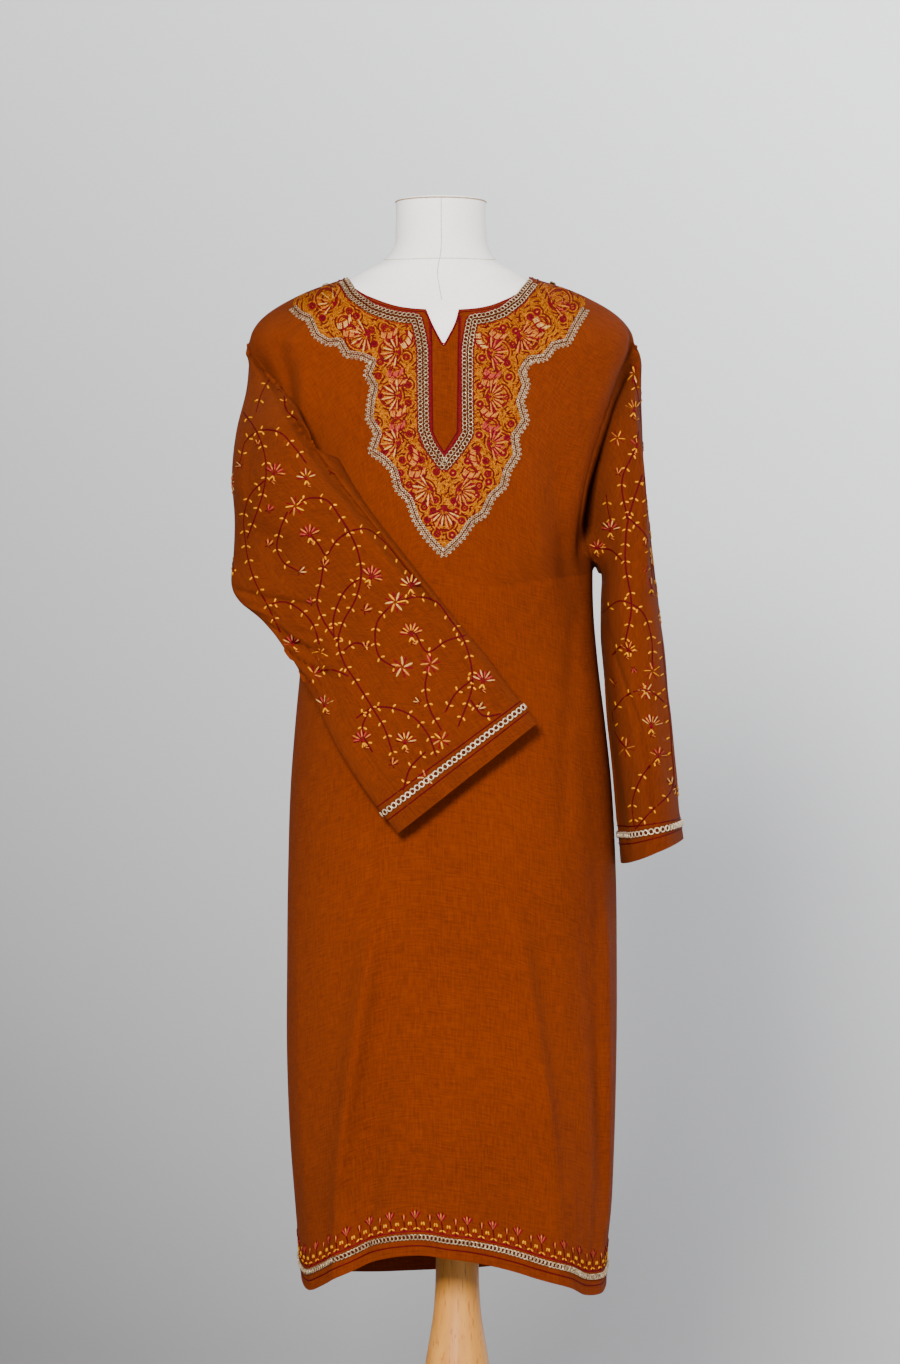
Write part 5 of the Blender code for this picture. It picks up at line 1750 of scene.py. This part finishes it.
def hem_plant(view, u, base, kind, k):
    tall = 0.0130 if kind == "flower" else 0.0105
    foot = np.array((u, base))
    top = foot + (0.0008 * (1 if k % 2 else -1), tall)
    chain(view, along([foot, (foot + top) / 2 + (0.0006, 0), top], 0.0024), "maroon", 0.0018)
    for side in (-1, 1):
        arm = along([foot, foot + (side * 0.0042, 0.0018), foot + (side * 0.0056, 0.0060)], 0.0024)
        chain(view, arm, "crimson", 0.0015)
        tip = foot + (side * 0.0054, 0.0062)
        stitch(view, tip, tip + (side * 0.0006, 0.0042), "gold", 0.0019, 0.0011)
        stitch(view, foot + (0, 0.0040), foot + (side * 0.0040, 0.0016), "gold", 0.0017, 0.0012)
    if kind == "flower":
        for turn, tint, reach in ((-36, "crimson", 0.0105), (-22, "pink", 0.0092), (-9, "maroon", 0.0112),
                                  (3, "peach", 0.0094), (15, "crimson", 0.0112), (27, "pink", 0.0088),
                                  (38, "maroon", 0.0100)):
            stitch(view, top, top + way(90 + turn) * reach, tint, 0.0018, 0.0011)
    else:
        for turn, tint in ((-17, "crimson"), (0, "peach"), (17, "maroon")):
            stitch(view, top, top + way(90 + turn) * 0.0082, tint, 0.0017, 0.0010)


for view in ("hem_front", "hem_back"):
    strip = STRIPS[view]
    count = int(strip.length / PLANT_GAP)
    for k in range(count * 2):
        u = (k + 0.5) * strip.length / (count * 2)
        hem_plant(view, u, PLANT_FOOT, "flower" if k % 2 == 0 else "bud", k)
    line = level_line(strip.length, 0.0105, 0.0026)
    chain(view, line, "maroon", 0.0018, None, 0.0008)
    chain(view, line + [0, 0.0153], "crimson", 0.0017, None, 0.0007)
count_stitches()


# %% Lines at the neck and the cuffs
for back in (False, True):
    name = "neck_edge_back" if back else "neck_edge_front"
    STRIPS[name] = Strip("back" if back else "front",
                         lambda h, b=back: panel_line(b, h, from_neck=True, reach=89.5), [0.0008, 0.0035])
    for up, tint in ((0.0010, "crimson"), (0.0030, "maroon")):
        chain(name, level_line(STRIPS[name].length, up), tint, 0.0015, None, 0.0009)
placket = [(429, 316), (430, 345), (430.5, 400), (431, 432), (436, 444), (444, 454), (452, 444), (458.5, 432),
           (459, 400), (459.5, 345), (460.5, 316)]
for grow, tint in ((0.2, "crimson"), (-1.4, "maroon")):
    line = [at(px + (grow if px > 444 else -grow if px < 444 else 0), py + (grow if py > 440 else 0))
            for px, py in placket]
    chain("front", straight_along(line, 0.0024), tint, 0.0018, FRONT_ONLY, 0.0008)
for grow in (-6.4, 6.4):
    chain("front", beside(neck_line, grow * PITCH)[::2], "crimson", 0.0017, FRONT_ONLY, 0.0008)
for name in ("sleeve_right", "sleeve_left"):
    view = name + "_cuff"
    STRIPS[view] = Strip(name, lambda h, n=name: tuple(np.concatenate([a, a[:1]]) for a in sleeve_line(n, h)),
                         [0.010, 0.0165, 0.0325, 0.040])
    for up in (0.0165, 0.0325):
        chain(view, level_line(STRIPS[view].length, up), "maroon", 0.0018, None, 0.0008)


# %% Make the thread meshes
THREAD_PIECES = {}
for (carrier, tint), entries in sorted(STITCHES.items()):
    obj = stitch_mesh(carrier + "_" + tint + "_stitches", entries, THREADS[tint])
    THREAD_PIECES.setdefault(carrier, []).append(obj)
    print(obj.name, "stitches:", len(entries), "triangles:", len(entries) * 8)


# %% [markdown]
# Now each cloth says what it was cut from. The two panels hang from the shoulders, so their area is
# what was measured on the outer face. The sleeves are tubes that were cut flat and closed by a seam.

# %% Say how the cloth is cut
def facts(name):
    outer = GRIDS[name]
    ring = name.startswith("sleeve")
    area = grid_area(outer, ring)
    u, v = grid_lengths(outer)
    wide = float(np.linalg.norm(np.diff(np.concatenate([outer, outer[:, :1]], axis=1) if ring else outer,
                                        axis=1), axis=-1).sum(axis=1).max())
    long = float(v[-1].max())
    area = min(area, wide * long)
    print(name, "flat", round(wide, 3), "x", round(long, 3), "m, area", round(area, 4))


facts("front")
facts("back")
facts("sleeve_right")
facts("sleeve_left")


# %% [markdown]
# Under the tunic stands the form: a covered torso without limbs, seated under the shoulder cloth. Its
# cover has a seam up the middle and one round the root of the neck, and the neck is cut off flat.

# %% Dress form
FORM_BOTTOM = 0.720
NECK_TOP = 1.4995
NECK_ROOT = 1.436
FORM_INSET_Z = [0.72, 0.80, 1.00, 1.15, 1.25, 1.32, 1.345, 1.36, 1.51]
FORM_INSET = [0.040, 0.026, 0.018, 0.016, 0.016, 0.011, 0.005, WALL + REST, WALL + REST]


FORM_PART = 0.48
FORM_GAP = 0.0004
RIM_DROP = 0.0015


def form_rings():
    front = np.linspace(-90, 90, 73)
    across = np.concatenate([front, front[-2:0:-1]])
    behind = np.arange(len(across)) >= len(front)
    angle = np.where(behind, 180 - across, across)
    angle = np.where(angle > 180, angle - 360, angle)
    hem = np.where(behind, edge_height(HEM_BACK, across), edge_height(HEM_FRONT, across))
    neck = np.where(behind, edge_height(NECK_BACK, across), edge_height(NECK_FRONT, across))
    first = hem + (neck - hem) * FORM_PART
    levels = [FORM_BOTTOM + 0.001 + (first - FORM_BOTTOM - 0.001) * g for g in np.linspace(0, 1, 17)[:-1]]
    levels += [hem + (neck - hem) * part for part in np.linspace(FORM_PART, 1, 66)]
    levels += [neck + (NECK_ROOT - neck) * f for f in np.linspace(0, 1, 13)[1:]]
    levels += [NECK_ROOT + (NECK_TOP - RIM_DROP - NECK_ROOT) * f + 0 * neck
               for f in np.linspace(0, 1, 13)[1:]]
    z = np.array(levels)
    inset = np.interp(z, FORM_INSET_Z, FORM_INSET) + FORM_GAP
    rings = skin(angle + 0 * z, z, -inset, 0.0)
    rings[0, :, 2] = FORM_BOTTOM
    return rings


def closed_rings(name, rings, material):
    m, n = rings.shape[:2]
    index = np.arange(m * n).reshape(m, n)
    index = np.concatenate([index, index[:, :1]], axis=1)
    faces = grid_faces(index)
    faces.append(list(range(n - 1, -1, -1)))
    faces.append([(m - 1) * n + c for c in range(n)])
    obj = add_object(name, rings, faces, material)
    if wall_volume(obj) < 0:
        obj.data.flip_normals()
    obj.data.set_sharp_from_angle(angle=math.radians(45))
    return obj


rings = form_rings()
top = rings[-1].mean(axis=0)
bevel = top + (rings[-1] - top) * 0.975
bevel[:, 2] = NECK_TOP
form = closed_rings("form_cover", np.concatenate([rings, bevel[None]]), LINEN)
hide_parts("form_torso")
print("form faces:", len(form.data.polygons))


# %% Seams and rim of the form
def form_line(angles, heights, lift):
    angles = np.asarray(angles, float)
    heights = np.asarray(heights, float) + 0 * angles
    inset = np.interp(heights, FORM_INSET_Z, FORM_INSET) + FORM_GAP
    points = skin(angles, heights, lift - inset, 0.0)
    return points, unit(points - skin(angles, heights, lift - inset - 0.003, 0.0))


SEAM_THREAD = floss("form_seam", (0.60, 0.50, 0.40), 0.8)
up_front = form_line(np.full(40, 0.5), np.linspace(1.385, 1.497, 40), 0.0)
turn_round = np.linspace(-180, 179, 120)
round_neck = form_line(turn_round, 1.437 - 0.006 * np.cos(np.radians(turn_round)), 0.0)
COVER_SEAM = 0.00045
parts = [cord(*up_front, COVER_SEAM, 0.0001), cord(*round_neck, COVER_SEAM, 0.0001, closed=True)]
seams = joined("form_seams", parts, SEAM_THREAD)
rim_line = form_line(np.linspace(-180, 177, 120), NECK_TOP - 0.0022, 0.0)
RIM = floss("form_rim", (0.40, 0.27, 0.17), 0.7)
rim = joined("form_rim", [cord(*rim_line, 0.0008, 0.0, closed=True)], RIM)


# %% [markdown]
# The post and its foot were turned on a lathe, so they are spun from a profile. Both profiles are
# the CAD's, with more steps round, and a smooth line is drawn through the points of the post.

# %% Turned post and foot
BASE_TOP = 0.028
POST_TOP = FORM_BOTTOM - SEAM
Turn = namedtuple("Turn", "radius z")
POST = [Turn(0.0340, BASE_TOP + SEAM), Turn(0.036, 0.034), Turn(0.034, 0.042), Turn(0.029, 0.050),
        Turn(0.029, 0.058), Turn(0.034, 0.085), Turn(0.039, 0.125), Turn(0.0395, 0.160),
        Turn(0.0375, 0.195), Turn(0.0345, 0.225), Turn(0.0300, 0.252), Turn(0.0262, 0.278),
        Turn(0.0243, 0.305), Turn(0.0236, 0.335), Turn(0.0230, 0.400), Turn(0.0230, POST_TOP)]
BASE = [Turn(0.166, 0.0), Turn(0.170, 0.003), Turn(0.170, 0.012), Turn(0.166, 0.017), Turn(0.150, 0.020),
        Turn(0.146, 0.025), Turn(0.140, BASE_TOP)]


def turned(name, node, profile, slot, smooth_line=True, steps=96):
    radius = np.array([p.radius for p in profile])
    z = np.array([p.z for p in profile])
    if smooth_line:
        t = np.linspace(0, len(z) - 1, (len(z) - 1) * 5 + 1)
        radius, z = (curve(np.arange(len(z)), values, t) for values in (radius, z))
    a = np.arange(steps) * 2 * math.pi / steps
    rings = np.stack([radius[:, None] * np.cos(a), radius[:, None] * np.sin(a), z[:, None] + 0 * a], axis=-1)
    obj = closed_rings(name, rings, BEECH)
    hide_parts(node)
    return obj


post = turned("turned_post", "stand_post", POST, "post_wood")
foot = turned("turned_foot", "stand_base", BASE, "base_wood", smooth_line=False)
print("wood faces:", len(post.data.polygons) + len(foot.data.polygons))


# %% [markdown]
# The studio is one sheet that runs from the floor up behind the form in a soft curve, its colour painted with
# light and shade: dark grey low down and to the left, pale high up and to the right.
# Its back is clear, so that the pheran can also be looked at from behind. A broad light from the upper
# left, a weaker one from the right and an even pale sky keep the folds readable without hard shadows.

# %% Floor and backdrop
def stage_material():
    material, tree, shader, place = start_material("studio_paper_painted_light", 0.95)
    split = tree.nodes.new("ShaderNodeSeparateXYZ")
    tree.links.new(place.outputs["Object"], split.inputs[0])
    # Painted light and shade: the sheet's colour runs from dark grey low down and to the left to pale high up
    # and to the right.
    rise = maths(tree, "ADD", maths(tree, "MULTIPLY", split.outputs["Z"], 0.42),
                 maths(tree, "MULTIPLY", split.outputs["X"], 0.28))
    mask = spread(tree, rise, -0.20, 1.05)
    tree.links.new(blend_colours(tree, mask, (0.215, 0.206, 0.205, 1), (0.94, 0.96, 0.985, 1)),
                   shader.inputs["Base Color"])
    facing = tree.nodes.new("ShaderNodeNewGeometry")
    clear = tree.nodes.new("ShaderNodeBsdfTransparent")
    either = tree.nodes.new("ShaderNodeMixShader")
    end = next(node for node in tree.nodes if node.type == "OUTPUT_MATERIAL")
    for k, source in enumerate((facing.outputs["Backfacing"], shader.outputs[0], clear.outputs[0])):
        tree.links.new(source, either.inputs[k])
    tree.links.new(either.outputs[0], end.inputs[0])
    return material


bend = np.linspace(0, math.pi / 2, 64)
sweep_y = np.concatenate([[-6.0, 0.5], 1.4 + 1.4 * np.sin(bend), [2.8]])
sweep_z = np.concatenate([[0.0, 0.0], 1.4 - 1.4 * np.cos(bend), [5.5]])
FLOOR_DROP = 0.0005
sweep = np.stack([np.stack([np.full(len(sweep_y), x), sweep_y, np.maximum(sweep_z, 0) - FLOOR_DROP], axis=-1)
                  for x in (-5.0, 5.0)])
index = np.arange(2 * len(sweep_y)).reshape(2, len(sweep_y))[::-1]
mesh = bpy.data.meshes.new("studio_sweep")
mesh.from_pydata(sweep.reshape(-1, 3).tolist(), [], grid_faces(index))
mesh.shade_smooth()
mesh.materials.append(stage_material())
backdrop = bpy.data.objects.new("studio_sweep", mesh)
bpy.context.scene.collection.objects.link(backdrop)


# %% Lights
def area_light(name, place, aim, size, power, colour=(1, 1, 1)):
    data = bpy.data.lights.new(name, "AREA")
    data.shape = "RECTANGLE"
    data.size, data.size_y = size
    data.energy = power
    data.color = colour
    obj = bpy.data.objects.new(name, data)
    bpy.context.scene.collection.objects.link(obj)
    obj.location = place
    obj.rotation_euler = (Vector(aim) - Vector(place)).to_track_quat("-Z", "Y").to_euler()


area_light("key_light", (-0.75, -4.3, 2.2), (0, 0, 1.10), (0.9, 0.9), 460, (1.0, 0.985, 0.96))
area_light("fill_light", (2.4, -3.4, 1.5), (0, 0, 0.9), (1.6, 2.0), 40)
area_light("back_light", (2.9, 0.9, 3.4), (1.6, 2.8, 1.9), (1.6, 1.2), 120)
world = bpy.data.worlds.new("studio_air")
bpy.context.scene.world = world
world.use_nodes = True
world.node_tree.nodes["Background"].inputs["Color"].default_value = (0.93, 0.95, 1.0, 1)
world.node_tree.nodes["Background"].inputs["Strength"].default_value = 0.46


# %% Camera
camera_data = bpy.data.cameras.new("camera")
camera_data.sensor_fit = "VERTICAL"
camera_data.sensor_height = 24
camera_data.lens = 24 * EYE_FAR / 1.50
camera = bpy.data.objects.new("camera", camera_data)
bpy.context.scene.collection.objects.link(camera)
camera.location = (EYE_X, -EYE_FAR, EYE_Z)
camera.rotation_euler = (math.radians(90), 0, 0)
bpy.context.scene.camera = camera
